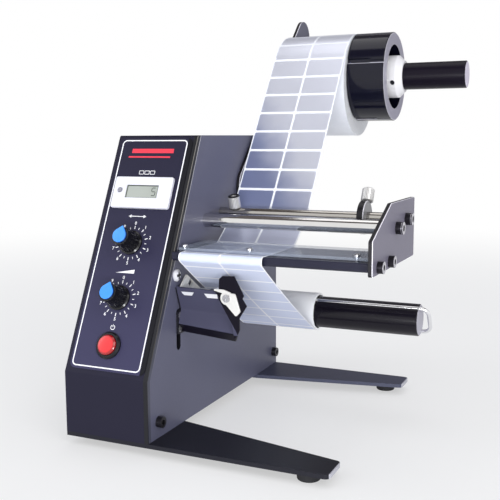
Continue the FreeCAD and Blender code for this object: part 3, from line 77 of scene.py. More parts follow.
class Wire:
    """A shader value that Python arithmetic turns into Math nodes."""

    def __init__(self, nodes: "Nodes", socket: bpy.types.NodeSocket) -> None:
        """Wraps one output socket of a node tree."""
        self.nodes = nodes
        self.socket = socket

    def output(self, key: int | str) -> "Wire":
        """Another output of the same node, by its place or its name."""
        return Wire(self.nodes, self.socket.node.outputs[key])

    def _math(self, operation: str, *values: object, clamp: bool = False) -> "Wire":
        """Joins values, in order, with one Math node; clamp holds its result between 0 and 1."""
        settings = {"operation": operation, "use_clamp": clamp}
        return self.nodes.node("ShaderNodeMath", settings, dict(enumerate(values)))

    def __add__(self, other: object) -> "Wire":
        """Sum."""
        return self._math("ADD", self, other)

    def __radd__(self, other: object) -> "Wire":
        """Reflected sum."""
        return self._math("ADD", other, self)

    def __sub__(self, other: object) -> "Wire":
        """Difference."""
        return self._math("SUBTRACT", self, other)

    def __rsub__(self, other: object) -> "Wire":
        """Reflected difference."""
        return self._math("SUBTRACT", other, self)

    def __mul__(self, other: object) -> "Wire":
        """Product."""
        return self._math("MULTIPLY", self, other)

    def __rmul__(self, other: object) -> "Wire":
        """Reflected product."""
        return self._math("MULTIPLY", other, self)

    def __truediv__(self, other: object) -> "Wire":
        """Quotient."""
        return self._math("DIVIDE", self, other)

    def __rtruediv__(self, other: object) -> "Wire":
        """Reflected quotient."""
        return self._math("DIVIDE", other, self)

    def __pow__(self, other: object) -> "Wire":
        """Power."""
        return self._math("POWER", self, other)

    def __rpow__(self, other: object) -> "Wire":
        """Reflected power."""
        return self._math("POWER", other, self)

    def over(self, other: object) -> "Wire":
        """1 where this is greater than the other, else 0."""
        return self._math("GREATER_THAN", self, other)

    def fraction(self) -> "Wire":
        """The part after the decimal point."""
        return self._math("FRACT", self)

    def size(self) -> "Wire":
        """The absolute value."""
        return self._math("ABSOLUTE", self)

    def wave(self) -> "Wire":
        """The sine."""
        return self._math("SINE", self)

    def heading(self, other: object) -> "Wire":
        """The angle of the point (other, this) about the origin."""
        return self._math("ARCTAN2", self, other)

    def high(self, other: object) -> "Wire":
        """The greater of two."""
        return self._math("MAXIMUM", self, other)

    def low(self, other: object) -> "Wire":
        """The lesser of two."""
        return self._math("MINIMUM", self, other)

    def held(self) -> "Wire":
        """The value held between 0 and 1."""
        return self._math("ADD", self, 0.0, clamp=True)

    def ramp(self, low: float, high: float) -> "Wire":
        """Rises smoothly from 0 at the low value to 1 at the high one."""
        settings = {"interpolation_type": "SMOOTHSTEP"}
        return self.nodes.node("ShaderNodeMapRange", settings, {0: self, 1: low, 2: high})


class Nodes:
    """A node tree and the ways to add to it."""

    def __init__(self, tree: bpy.types.NodeTree) -> None:
        """Takes a node tree."""
        self.tree = tree

    def node(self, kind: str, settings: dict | None = None, sockets: dict | None = None) -> Wire:
        """Makes a node.

        Args:
            kind: the node's type name.
            settings: attributes, which are set first.
            sockets: values or wires by input place or name.

        Returns:
            The node's first output.
        """
        made = self.tree.nodes.new(kind)
        for name, value in (settings or {}).items():
            setattr(made, name, value)
        for key, value in (sockets or {}).items():
            self.feed(made.inputs[key], value)
        return Wire(self, made.outputs[0])

    def feed(self, socket: bpy.types.NodeSocket, value: object) -> None:
        """Links a wire to a socket, or sets its number, vector or colour.

        Args:
            socket: the input socket.
            value: a wire or a plain value.
        """
        if isinstance(value, Wire):
            self.tree.links.new(value.socket, socket)
        elif socket.type == "RGBA":
            socket.default_value = (*value, 1.0)
        else:
            socket.default_value = value

    def straight_rays(self) -> Wire:
        """1 for rays from the camera, a mirror or clear stuff, which see the background, else 0."""
        path = self.node("ShaderNodeLightPath")
        return path.high(path.output("Is Glossy Ray")).high(path.output("Is Transmission Ray"))

    def whiten(self, share: Wire, under: bpy.types.NodeSocket, white: str, output: str) -> None:
        """Mixes the tree's shader with plain white.

        Args:
            share: how white it is, from 0 to 1.
            under: the shader's own output.
            white: the type of the white node.
            output: the name of the tree's output node.
        """
        glow = self.node(white, {}, {"Color": WHITE, "Strength": 1.0})
        mixed = self.node("ShaderNodeMixShader", {}, {0: share, 1: Wire(self, under), 2: glow})
        self.feed(self.tree.nodes[output].inputs["Surface"], mixed)


class Shader(Nodes):
    """One material's node tree, with the place and the two noises that its finish starts from."""

    def __init__(self, name: str) -> None:
        """Makes a material with one surface shader.

        Args:
            name: the material's name.
        """
        self.material = bpy.data.materials.new(name)
        self.material.use_nodes = True
        super().__init__(self.material.node_tree)
        self.surface = self.tree.nodes["Principled BSDF"]
        self.here: Wire | None = None
        self.skin: Wire | None = None
        self.cloud: Wire | None = None

    def set(self, **values: object) -> None:
        """Sets or links the surface's sockets; an underscore in a name stands for a space."""
        for name, value in values.items():
            self.feed(self.surface.inputs[name.replace("_", " ")], value)

    def place(self, centre: Sequence[float] = BLACK, tilt: float = 0.0) -> Wire:
        """Object coordinates seen from a centre, and tilted.

        Args:
            centre: the point in metres that becomes the origin.
            tilt: the turn about X, in radians.

        Returns:
            The coordinates.
        """
        raw = self.node("ShaderNodeTexCoord").output("Object")
        if not any(centre) and not tilt:
            return raw
        moved = self.node("ShaderNodeVectorMath", {"operation": "SUBTRACT"}, {0: raw, 1: tuple(centre)})
        return self.node("ShaderNodeMapping", {}, {"Vector": moved, "Rotation": (tilt, 0.0, 0.0)})

    def parts(self, vector: Wire) -> tuple[Wire, Wire, Wire]:
        """The three components of a vector."""
        split = self.node("ShaderNodeSeparateXYZ", {}, {0: vector})
        return split, split.output(1), split.output(2)

    def web_place(self) -> tuple[Wire, Wire]:
        """The distances across and along the web, in millimetres."""
        across, along, _ = self.parts(self.node("ShaderNodeUVMap", {"uv_map": "web"}))
        return across, along

    def mix(self, share: object, first: object, second: object) -> Wire:
        """A colour between two, by a share from 0 to 1."""
        return self.node("ShaderNodeMix", {"data_type": "RGBA"}, {0: share, 6: first, 7: second}).output(2)

    def relief(self, height: Wire, depth_mm: float, strength: float) -> Wire:
        """A normal bent by a height from 0 to 1, which is depth_mm deep at 1."""
        sockets = {"Height": height, "Distance": depth_mm * MM, "Strength": strength}
        return self.node("ShaderNodeBump", {}, sockets)


@dataclass(frozen=True)
class Grain:
    """Cloudy noise from 0 to 1: lumps per metre, finer layers, their strength, and a stretch."""

    scale: float
    detail: float = 2.0
    rough: float = 0.5
    stretch: tuple[float, float, float] = WHITE

    def read(self, shader: Shader) -> Wire:
        """Reads the noise at each place of a piece.

        Args:
            shader: the shader whose coordinates are read.

        Returns:
            The noise.
        """
        here = shader.here
        if self.stretch != WHITE:
            here = shader.node("ShaderNodeVectorMath", {"operation": "MULTIPLY"}, {0: here, 1: self.stretch})
        sockets = {"Vector": here, "Scale": self.scale, "Detail": self.detail, "Roughness": self.rough}
        return shader.node("ShaderNodeTexNoise", {}, sockets)


def shade(colour: Colour, factor: float) -> Colour:
    """A colour made lighter or darker by a factor."""
    return tuple(min(1.0, c * factor) for c in colour)


@dataclass(frozen=True)
class Finish:
    """What every finish shares: a clouded colour, and a skin that varies its gloss and relief."""

    name: str
    colour: Colour
    roughness: float = 0.5
    origin: tuple[float, float, float] = BLACK
    skin: Grain | None = Grain(900.0)
    cloud: Grain | None = Grain(70.0)
    shades: Point = (0.95, 1.05)
    skin_gloss: float = 0.08
    cloud_gloss: float = 0.0
    metal: float = 0.0
    shine: float = 0.5
    coat: float = 0.0
    depth: float = 0.0
    bite: float = 0.5

    def clouded(self, shader: Shader, share: Wire) -> Wire:
        """The finish's colour between its two shades, by a share from 0 to 1."""
        return shader.mix(share, *(shade(self.colour, factor) for factor in self.shades))

    def gloss(self, shader: Shader) -> object:
        """Varies the roughness by the skin and the cloud.

        Args:
            shader: the shader that is filled.

        Returns:
            The roughness at each place.
        """
        value = self.roughness
        for noise, spread in ((shader.skin, self.skin_gloss), (shader.cloud, self.cloud_gloss)):
            if noise is not None and spread:
                value = value + (noise - 0.5) * spread
        return value

    def marks(self, shader: Shader) -> Sockets:
        """What the finish feeds beyond its plain skin, by socket; its colour at least."""
        return {"Base_Color": self.clouded(shader, shader.cloud)}

    def paint(self, shader: Shader) -> None:
        """Fills a shader.

        Args:
            shader: the shader that is filled.
        """
        shader.here = shader.place(self.origin)
        shader.skin = self.skin.read(shader) if self.skin else None
        shader.cloud = self.cloud.read(shader) if self.cloud else shader.skin
        sockets = {"Metallic": self.metal, "Specular_IOR_Level": self.shine} | self.marks(shader)
        if "Roughness" not in sockets:
            sockets["Roughness"] = self.gloss(shader)
        if self.coat:
            sockets |= {"Coat_Weight": self.coat, "Coat_Roughness": COAT_ROUGHNESS}
        if self.depth:
            sockets["Normal"] = shader.relief(shader.skin, self.depth, self.bite)
        shader.set(**sockets)

    def material(self) -> bpy.types.Material:
        """Makes the material of this finish, once.

        Returns:
            The material.
        """
        name = self.name + "_finish"
        if name not in bpy.data.materials:
            self.paint(Shader(name))
        return bpy.data.materials[name]


@dataclass(frozen=True)
class Moulded(Finish):
    """Moulded plastic, with a faint skin and a few handling marks."""

    cloud_gloss: float = 0.05
    depth: float = 0.02
    bite: float = 0.4


@dataclass(frozen=True)
class Ink(Finish):
    """Screen-printed ink, slightly uneven."""

    skin: Grain | None = Grain(1800.0, 2.0, 0.6)
    cloud: Grain | None = None
    shades: Point = (0.88, 1.05)
    skin_gloss: float = 0.1


@dataclass(frozen=True)
class Card(Finish):
    """Spiral-wound card tube."""

    skin: Grain | None = Grain(260.0, 4.0, 0.65, (1.0, 3.0, 3.0))
    cloud: Grain | None = None
    shades: Point = (0.78, 1.12)
    skin_gloss: float = 0.0
    depth: float = 0.06


@dataclass(frozen=True)
class Chrome(Finish):
    """Plated and polished metal with faint streaks along a rod."""

    skin: Grain | None = Grain(1.0, stretch=(30.0, 900.0, 900.0))
    cloud: Grain | None = Grain(45.0)
    shades: Point = (0.93, 1.05)
    skin_gloss: float = 0.05
    cloud_gloss: float = 0.03
    metal: float = 1.0


@dataclass(frozen=True)
class Rubber(Finish):
    """Moulded rubber, dull, with dust in its pores."""

    skin: Grain | None = Grain(1300.0, 3.0, 0.7)
    cloud: Grain | None = Grain(120.0, 3.0)
    shades: Point = (1.0, 2.2)
    skin_gloss: float = 0.1
    shine: float = 0.3
    depth: float = 0.05
    bite: float = 0.6
    dust: float = 0.6

    def marks(self, shader: Shader) -> Sockets:
        """Lightens the colour by the dust."""
        return {"Base_Color": self.clouded(shader, (shader.cloud * self.dust).held())}


@dataclass(frozen=True)
class Acrylic(Finish):
    """Clear polished sheet with faint wipe marks."""

    skin: Grain | None = Grain(1.0, 3.0, stretch=(40.0, 260.0, 260.0))
    cloud: Grain | None = None
    shades: Point = (0.96, 1.0)
    skin_gloss: float = 0.06
    shine: float = 0.6
    alpha: float = 0.3
    alpha_spread: float = 0.06

    def marks(self, shader: Shader) -> Sockets:
        """Adds how clear the sheet is."""
        return super().marks(shader) | {"Alpha": self.alpha + (shader.skin - 0.5) * self.alpha_spread}


@dataclass(frozen=True)
class PowderCoat(Finish):
    """Baked paint on sheet steel, with a fine orange-peel skin and, right of highlight_x, a painted highlight
    on the rim.
    """

    skin: Grain | None = Grain(1100.0, 2.0, 0.55)
    cloud: Grain | None = Grain(14.0, 3.0, 0.6)
    speck: Grain = Grain(2090.0, 1.0)
    shades: Point = (0.94, 1.06)
    skin_gloss: float = 0.16
    shine: float = 0.3
    depth: float = 0.05
    cloud_share: float = 0.9
    speck_share: float = 0.5
    highlight_x: float = 1.0
    # colour of the painted highlight on the rim
    rim: Colour = (0.45, 0.45, 0.5)

    def coat_colour(self, shader: Shader) -> Wire:
        """The coat's colour, clouded and specked."""
        mottle = (shader.cloud - 0.5) * self.cloud_share + (self.speck.read(shader) - 0.5) * self.speck_share
        return self.clouded(shader, (mottle + 0.5).held())

    def marks(self, shader: Shader) -> Sockets:
        """Adds the painted highlight on the rim to the coat."""
        # mask of the painted highlight, right of highlight_x
        bare = shader.parts(shader.here)[0].over(self.highlight_x)
        return {"Base_Color": shader.mix(bare, self.coat_colour(shader), self.rim)}


@dataclass(frozen=True)
class SidePaint(PowderCoat):
    """Grey paint on the side plate, with the black joint strip along its front, painted highlights along the
    strip, and its cut edges painted black as painted shade.
    """

    speck: Grain = Grain(2100.0, 1.0)
    face_x: float = 0.0
    edge_mm: float = 0.2
    corner: Point = (0.0, 0.0)
    hem_highlight_mm: Point = (0.5, 0.9)
    strip_mm: float = 3.7
    line_mm: float = 0.8
    fade_mm: float = 110.0
    black: Colour = JOINT_AND_SHADE_BLACK
    low_strip: Colour = (0.06, 0.062, 0.088)
    # painted highlight at the strip's outer edge, strongest towards the top
    hem_highlight: Colour = (0.2, 0.185, 0.16)
    # painted highlight beside the strip, strongest towards the top
    line: Colour = (0.42, 0.41, 0.43)

    def marks(self, shader: Shader) -> Sockets:
        """Adds the strip, lighter towards the foot, its painted highlights at its outer edge and beside it,
        which grow stronger with the height, and the cut edges, painted black as painted shade.

        Args:
            shader: the shader that is filled.

        Returns:
            The colour.
        """
        x, y, z = shader.parts(shader.here)
        behind, over = y - self.corner[0], z - self.corner[1]
        inward = behind.low(behind * math.sin(SLOPE) - over * math.cos(SLOPE)) / MM
        height = (over / (self.fade_mm * MM)).held()
        strip = shader.mix(height, self.low_strip, self.black)
        strip = shader.mix(inward.ramp(*self.hem_highlight_mm), shader.mix(height, self.black, self.hem_highlight), strip)
        line = shader.mix(height, self.colour, self.line)
        marked = shader.mix(inward.over(self.strip_mm + self.line_mm), line, self.coat_colour(shader))
        marked = shader.mix(inward.over(self.strip_mm), strip, marked)
        # the cut edges are painted black as painted shade
        return {"Base_Color": shader.mix(x.over(self.face_x - self.edge_mm * MM), self.black, marked)}


@dataclass(frozen=True)
class EdgedPaint(Finish):
    """Grey paint on a plate that stands across X, its cut edges black up to a painted highlight along its
    rim.
    """

    skin: Grain | None = Grain(1300.0, 2.0, 0.55)
    cloud: Grain | None = Grain(14.0, 3.0, 0.6)
    shades: Point = (0.94, 1.06)
    skin_gloss: float = 0.16
    shine: float = 0.3
    depth: float = 0.04
    face_x: float = 0.0
    paint_mm: float = 0.02
    edge: Colour = (0.008, 0.007, 0.01)
    # colour of the painted highlight along the rim
    rim: Colour = (0.8, 0.78, 0.84)
    rim_mm: float = 0.55

    def marks(self, shader: Shader) -> Sockets:
        """Adds the cut edges and the painted highlight along the rim.

        Args:
            shader: the shader that is filled.

        Returns:
            The colour.
        """
        x = shader.parts(shader.here)[0]
        # painted highlight along the rim, next to the black cut edges
        edge = shader.mix(x.over(self.face_x - self.rim_mm * MM), self.edge, self.rim)
        face = self.clouded(shader, shader.cloud)
        return {"Base_Color": shader.mix(x.over(self.face_x - self.paint_mm * MM), edge, face)}


@dataclass(frozen=True)
class TrayPaint(Finish):
    """Satin paint on the sensing tray, with painted shade on its slanting lower lip and on its end wall and
    ear.
    """

    skin: Grain | None = Grain(1600.0, 2.0, 0.55)
    cloud: Grain | None = Grain(30.0)
    shades: Point = (0.9, 1.1)
    skin_gloss: float = 0.12
    shine: float = 0.12
    depth: float = 0.02
    lip_left: Point = (0.0, 0.0)
    lip_fall: float = 0.0932
    lip_mm: Point = (-0.2, 0.1)
    wall_at: Point = (0.0, 0.0)
    wall_side: Point = (0.856, 0.519)
    wall_mm: Point = (0.6, 0.8)
    # colour of the painted shade
    dark: Colour = (0.004, 0.003, 0.008)

    def marks(self, shader: Shader) -> Sockets:
        """Paints shade on the lip, the end wall and the ear.

        Args:
            shader: the shader that is filled.

        Returns:
            The colour.
        """
        x, _, z = shader.parts(shader.here)
        over_lip = (z + (x - self.lip_left[0]) * self.lip_fall - self.lip_left[1]) / MM
        beyond = ((x - self.wall_at[0]) * self.wall_side[0] + (z - self.wall_at[1]) * self.wall_side[1]) / MM
        # where the painted shade lies: below the lip's line, and on the end wall and ear
        dark = (1 - over_lip.ramp(*self.lip_mm)).high(beyond.ramp(*self.wall_mm))
        return {"Base_Color": shader.mix(dark, self.clouded(shader, shader.cloud), self.dark)}


@dataclass(frozen=True)
class Metal(Finish):
    """Bare or plated metal with fine tool marks."""

    skin: Grain | None = Grain(1200.0, 3.0, 0.6)
    cloud: Grain | None = None
    skin_gloss: float = 0.14
    metal: float = 1.0
    depth: float = 0.02
    bite: float = 0.35


@dataclass(frozen=True)
class PlatedSteel(Metal):
    """Zinc-plated or turned steel, clouded as well."""

    cloud: Grain | None = Grain(60.0)
    shades: Point = (0.82, 1.12)

    def marks(self, shader: Shader) -> Sockets:
        """Shades the metal by its tool marks and its cloud alike."""
        return {"Base_Color": self.clouded(shader, (shader.skin * 0.5 + shader.cloud * 0.5).held())}


@dataclass(frozen=True)
class CapScrew(Metal):
    """Black oxide screws along X, with a painted highlight on their top faces."""

    shades: Point = (0.7, 1.3)
    metal: float = 0.85
    faces: tuple[float, ...] = ()
    highlight_mm: Point = (0.03, 0.35)
    # colour of the painted highlight
    bright: Colour = (0.5, 0.49, 0.54)

    def marks(self, shader: Shader) -> Sockets:
        """Adds the painted highlight on the top faces.

        Args:
            shader: the shader that is filled.

        Returns:
            The colour.
        """
        x = shader.parts(shader.here)[0]
        away = (x - self.faces[0]).size()
        for place in self.faces[1:]:
            away = away.low((x - place).size())
        # painted highlight on and just below the top faces
        painted_highlight = 1 - away.ramp(self.highlight_mm[0] * MM, self.highlight_mm[1] * MM)
        return {"Base_Color": shader.mix(painted_highlight, self.clouded(shader, shader.skin), self.bright)}


@dataclass(frozen=True)
class PanScrew(Metal):
    """Nickel-plated pan head screws along X, with painted shade as a dark cross on one of them where its
    cross recess is.
    """

    shades: Point = (0.95, 1.0)
    metal: float = 0.15
    at: Point = (0.0, 0.0)
    cross_mm: Point = (2.6, 0.9)
    # colour of the painted shade in the cross recess
    recess: Colour = (0.02, 0.02, 0.02)

    def marks(self, shader: Shader) -> Sockets:
        """Adds the painted shade of the cross recess.

        Args:
            shader: the shader that is filled.

        Returns:
            The colour.
        """
        _, y, z = shader.parts(shader.here)
        dy, dz = (y - self.at[0]).size(), (z - self.at[1]).size()
        reach, width = (value * MM for value in self.cross_mm)
        arm = (1 - dy.low(dz).over(width)) * (1 - dy.high(dz).over(reach))
        return {"Base_Color": shader.mix(arm, self.clouded(shader, shader.skin), self.recess)}


@dataclass(frozen=True)
class PrintedFilm(Finish):
    """Matte overlay film, painted lighter towards its lower end as painted light, and black in its right
    margin.
    """

    skin: Grain | None = Grain(1500.0, 2.0, 0.6)
    cloud: Grain | None = None
    skin_gloss: float = 0.12
    shine: float = 0.15
    depth: float = 0.03
    bite: float = 0.4
    # colour of the painted light at the film's lower end
    low: Colour = (0.04, 0.038, 0.082)
    painted_light_z: Point = (0.06, 0.2)
    speck_share: float = 0.12
    speck_shade: float = 1.4
    margin_x: float = 1.0
    margin: Colour = JOINT_AND_SHADE_BLACK

    def marks(self, shader: Shader) -> Sockets:
        """Paints light on the film, lighter towards its lower end, specks it and adds the margin.

        Args:
            shader: the shader that is filled.

        Returns:
            The colour.
        """
        x, _, z = shader.parts(shader.here)
        tone = shader.mix(z.ramp(*self.painted_light_z), self.low, self.colour)
        film = shader.mix((shader.skin * self.speck_share).held(), tone, shade(self.low, self.speck_shade))
        return {"Base_Color": shader.mix(x.over(self.margin_x), film, self.margin)}


@dataclass(frozen=True)
class Turned(Finish):
    """Black turned bar along X, with fine rings from the lathe and a bare cut face at its end."""

    skin: Grain | None = Grain(4200.0, 1.0, stretch=(1.0, 0.02, 0.02))
    cloud: Grain | None = Grain(40.0)
    shades: Point = (0.85, 1.2)
    skin_gloss: float = 0.06
    cloud_gloss: float = 0.06
    shine: float = 0.25
    depth: float = 0.003
    bite: float = 0.2
    end_x: float = 1.0
    end_colour: Colour = (0.5, 0.48, 0.55)
    end_gloss: float = 0.2

    def ended(self, shader: Shader, barrel: Wire, face: object) -> Sockets:
        """Puts the cut face's colour and duller gloss at the bar's end.

        Args:
            shader: the shader that is filled.
            barrel: the bar's colour.
            face: the cut face's colour.

        Returns:
            The colour and the roughness.
        """
        end = shader.parts(shader.here)[0].over(self.end_x)
        rough = self.gloss(shader) + end * self.end_gloss
        return {"Base_Color": shader.mix(end, barrel, face), "Roughness": rough}

    def marks(self, shader: Shader) -> Sockets:
        """Adds the cut face."""
        return self.ended(shader, self.clouded(shader, shader.cloud), self.end_colour)


@dataclass(frozen=True)
class StepRing(Turned):
    """Turned ring, with painted highlights along its steps and round the rims of its end face."""

    skin: Grain | None = None
    depth: float = 0.0
    radii_mm: Point = (26.5, 36.6)
    steps: tuple[float, ...] = (165.2, 75.2, -14.8, -104.8)
    # colour of the painted highlights
    painted_highlight: Colour = (0.42, 0.41, 0.46)
    highlight_mm: float = 0.3
    shoulder_mm: float = 0.5
    rim_mm: Point = (1.0, 1.5)
    bore_rim_mm: Point = (0.3, 0.7)
    patches: Point = (0.6, 0.8)

    def marks(self, shader: Shader) -> Sockets:
        """Adds the painted highlights along the steps and round the rims.

        Args:
            shader: the shader that is filled.

        Returns:
            The colour and the roughness.
        """
        _, y, z = shader.parts(shader.here)
        bore, outer = self.radii_mm
        radius = (y * y + z * z) ** 0.5 / MM
        gaps = [(z.heading(y) - math.radians(step)).size() for step in self.steps]
        away = gaps[0]
        for gap in gaps[1:]:
            away = away.low(gap)
        # painted highlight along the step edges, patchy with the cloud
        edge = (1 - (away * outer).over(self.highlight_mm)) * radius.over(outer - self.shoulder_mm)
        patchy = (edge * (self.patches[0] + shader.cloud * self.patches[1])).held()
        # painted highlight round the outer rim and the bore of the end face
        outer_rim = radius.ramp(outer - self.rim_mm[1], outer - self.rim_mm[0])
        rims = outer_rim.high(1 - radius.ramp(bore + self.bore_rim_mm[0], bore + self.bore_rim_mm[1]))
        barrel = shader.mix(patchy, self.clouded(shader, shader.cloud), self.painted_highlight)
        return self.ended(shader, barrel, shader.mix(rims, self.end_colour, self.painted_highlight))


@dataclass(frozen=True)
class ShadedWallCap(Finish):
    """Moulded cap on the sloped panel, its top face in its own colour and its side wall painted darker as
    painted shade.
    """

    skin: Grain | None = None
    cloud: Grain | None = Grain(90.0)
    shades: Point = (0.93, 1.1)
    cloud_gloss: float = 0.05
    coat: float = 0.6
    top: float = 0.0
    # colour of the painted shade on the side wall
    wall: Colour = (0.01, 0.1, 0.45)
    outward: Point = (-0.903, 0.43)
    rim_mm: Point = (0.25, 0.075)

    def marks(self, shader: Shader) -> Sockets:
        """Adds the painted shade on the side wall.

        Args:
            shader: the shader that is filled.

        Returns:
            The colour.
        """
        _, y, z = shader.parts(shader.here)
        height = y * self.outward[0] + z * self.outward[1]
        light = height.ramp(*(self.top - rim * MM for rim in self.rim_mm))
        return {"Base_Color": shader.mix(light, self.wall, self.clouded(shader, shader.cloud))}


def panel_height(node: str) -> float:
    """How far a CAD node reaches out along the sloped panel's normal, in metres."""
    across, up = ShadedWallCap.outward
    return max(vert.co.y * across + vert.co.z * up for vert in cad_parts[node].data.vertices)


@dataclass(frozen=True)
class Knurled(Finish):
    """Plated thumbscrew with straight knurls round its own axis, painted darker in the grooves as painted
    shade.
    """

    skin: Grain | None = Grain(500.0, 3.0)
    cloud: Grain | None = None
    # the darker shade is painted shade in the knurl grooves
    shades: Point = (0.45, 1.0)
    skin_gloss: float = 0.15
    metal: float = 0.6
    centre: tuple[float, float, float] = BLACK
    tilt: float = 0.0
    teeth: float = 26.0
    band_mm: float = 4.6
    top_mm: float = 4.2
    groove_relief: Point = (0.08, 0.4)
    top: Colour = (0.7, 0.7, 0.7)

    @classmethod
    def on_rod(cls, name: str, x: float, reach: float, lean: float, top: Colour) -> "Knurled":
        """Makes the finish of a thumbscrew on the rear rod.

        Args:
            name: the finish's name.
            x: the screw's place along the rod, in millimetres.
            reach: the head's middle from the rod's axis, in millimetres.
            lean: how far it leans to the front, in degrees.
            top: the colour of its top face.

        Returns:
            The finish.
        """
        angle = math.radians(lean)
        centre = datum.at(x, REAR_ROD[0] - reach * math.sin(angle), REAR_ROD[1] + reach * math.cos(angle))
        return cls(name, (0.88, 0.87, 0.86), 0.3, centre=tuple(centre), tilt=-angle, top=top)

    def marks(self, shader: Shader) -> Sockets:
        """Adds the knurls, painted darker in their grooves as painted shade, and the top face.

        Args:
            shader: the shader that is filled.

        Returns:
            The colour and the relief.
        """
        x, y, z = shader.parts(shader.place(self.centre, self.tilt))
        cut = (x.heading(y) * self.teeth).wave() * 0.5 + 0.5
        groove = cut * (1 - z.size().over(self.band_mm * MM))
        # the grooves painted darker as painted shade
        side = self.clouded(shader, groove)
        base = shader.mix(z.over(self.top_mm * MM), side, self.top)
        return {"Base_Color": base, "Normal": shader.relief(groove, *self.groove_relief)}


@dataclass(frozen=True)
class WoundEnd(Finish):
    """Layers of a wound roll, as rings about an axis along X."""

    skin: Grain | None = Grain(900.0, 3.0, 0.7)
    cloud: Grain | None = Grain(30.0)
    shades: Point = (0.72, 1.0)
    skin_gloss: float = 0.1
    layer_mm: float = 0.32
    wobble: float = 1.5
    ring_share: float = 0.7
    layer: Point = (0.05, 0.5)

    def marks(self, shader: Shader) -> Sockets:
        """Adds the layers.

        Args:
            shader: the shader that is filled.

        Returns:
            The colour and the relief.
        """
        _, y, z = shader.parts(shader.here)
        turns = (y * y + z * z) ** 0.5 / (self.layer_mm * MM) + shader.cloud * self.wobble
        ring = (turns * math.tau).wave() * 0.5 + 0.5
        share = (ring * self.ring_share + shader.skin * (1 - self.ring_share)).held()
        return {"Base_Color": self.clouded(shader, share), "Normal": shader.relief(ring, *self.layer)}


@dataclass(frozen=True)
class LabelPrint(Finish):
    """Rows of foil labels on a pale liner, laid out on the web's own UV map in millimetres."""

    skin: Grain | None = Grain(1.0, 3.0, stretch=(40.0, 700.0, 700.0))
    cloud: Grain | None = Grain(35.0)
    shades: Point = (0.94, 1.05)
    skin_gloss: float = 0.05
    liner: Colour = (0.86, 0.88, 0.93)
    liner_roughness: float = 0.45
    columns: int = 2
    margin: float = 0.9
    gap: float = 1.5
    row_gap: float = 1.9
    corner: float = 1.2
    corner_soft: Point = (-0.18, 0.05)
    side_soft: Point = (-0.2, 0.02)
    sheen: float = 0.55
    veil: float = 0.0
    # painted shade on the foil where the web hangs low
    painted_shade_colour: Colour = (0.26, 0.3, 0.5)
    painted_shade_span: Point = (70.0, 150.0)
    low_wander: float = 60.0
    low_lean: float = 1.5
    tail_span: Point = (190.0, 215.0)
    tail_share: float = 0.55
    brush_height: float = 0.03
    relief_mm: float = 0.09
    relief_bite: float = 0.6

    def label_mask(self, across: Wire, along: Wire) -> Wire:
        """Finds where the labels are.

        Args:
            across: the distance across the web.
            along: the distance along the web.

        Returns:
            A mask that is 1 on a label.
        """
        label_width = (WEB_WIDTH - 2 * self.margin - (self.columns - 1) * self.gap) / self.columns
        step = label_width + self.gap
        column = ((across - self.margin + self.gap / 2) / step).fraction() * step - step / 2
        row = (along / LABEL_PITCH).fraction() * LABEL_PITCH - LABEL_PITCH / 2
        dx = (column.size() - (label_width / 2 - self.corner)).high(0.0)
        dy = (row.size() - ((LABEL_PITCH - self.row_gap) / 2 - self.corner)).high(0.0)
        label = 1 - ((dx * dx + dy * dy) ** 0.5).ramp(*(self.corner + soft for soft in self.corner_soft))
        for side in (across, WEB_WIDTH - across):
            label = label * side.ramp(*(self.margin + soft for soft in self.side_soft))
        return label

    def marks(self, shader: Shader) -> Sockets:
        """Lays the labels on the liner, with painted shade on the foil where the web hangs low and more on
        the left, lifting again near the web's end.

        Args:
            shader: the shader that is filled.

        Returns:
            The colour, the metal share, the roughness and the relief.
        """
        across, along = shader.web_place()
        label = self.label_mask(across, along)
        upper = self.clouded(shader, shader.cloud)
        # how far the painted shade reaches: further along the web, wandering with the cloud, and more to the
        # left
        fall = along + (shader.cloud - 0.5) * self.low_wander - across * self.low_lean
        foil = shader.mix(fall.ramp(*self.painted_shade_span), upper, self.painted_shade_colour)
        # the painted shade lifts again towards the web's end
        foil = shader.mix(along.ramp(*self.tail_span) * self.tail_share, foil, upper)
        share = label * (1 - self.veil)
        rough = (1 - share) * self.liner_roughness + share * self.roughness
        height = label + shader.skin * self.brush_height
        return {
            "Base_Color": shader.mix(share, self.liner, foil),
            "Metallic": share * self.sheen,
            "Roughness": rough + (shader.skin - 0.5) * self.skin_gloss,
            "Normal": shader.relief(height, self.relief_mm, self.relief_bite),
        }


@dataclass(frozen=True)
class Paper(Finish):
    """Bare glassine liner with faint rows left by the labels."""

    skin: Grain | None = Grain(700.0, 3.0, 0.6)
    cloud: Grain | None = Grain(28.0)
    skin_gloss: float = 0.1
    shine: float = 0.25
    depth: float = 0.003
    bite: float = 0.3
    row_line: Point = (1.1, 0.5)
    middle_line: Point = (0.4, 1.0)
    edge_line: Point = (1.3, 0.7)
    ghost: Colour = (0.98, 0.98, 1.0)
    shares: tuple[float, float, float] = (0.8, 0.2, 0.35)

    def marks(self, shader: Shader) -> Sockets:
        """Adds the ghosts of the labels' edges.

        Args:
            shader: the shader that is filled.

        Returns:
            The colour.
        """
        across, along = shader.web_place()
        row = ((along / LABEL_PITCH).fraction() * LABEL_PITCH - LABEL_PITCH / 2).size()
        side = (across - WEB_WIDTH / 2).size()
        line = row.ramp(*(LABEL_PITCH / 2 - reach for reach in self.row_line))
        edge = side.ramp(*(WEB_WIDTH / 2 - reach for reach in self.edge_line))
        ghost = line.high(1 - side.ramp(*self.middle_line)).high(edge)
        ghost_share, skin_share, cloud_share = self.shares
        tone = ghost * ghost_share + (shader.skin - 0.5) * skin_share + (shader.cloud - 0.5) * cloud_share
        return {"Base_Color": shader.mix(tone.held(), self.colour, self.ghost)}


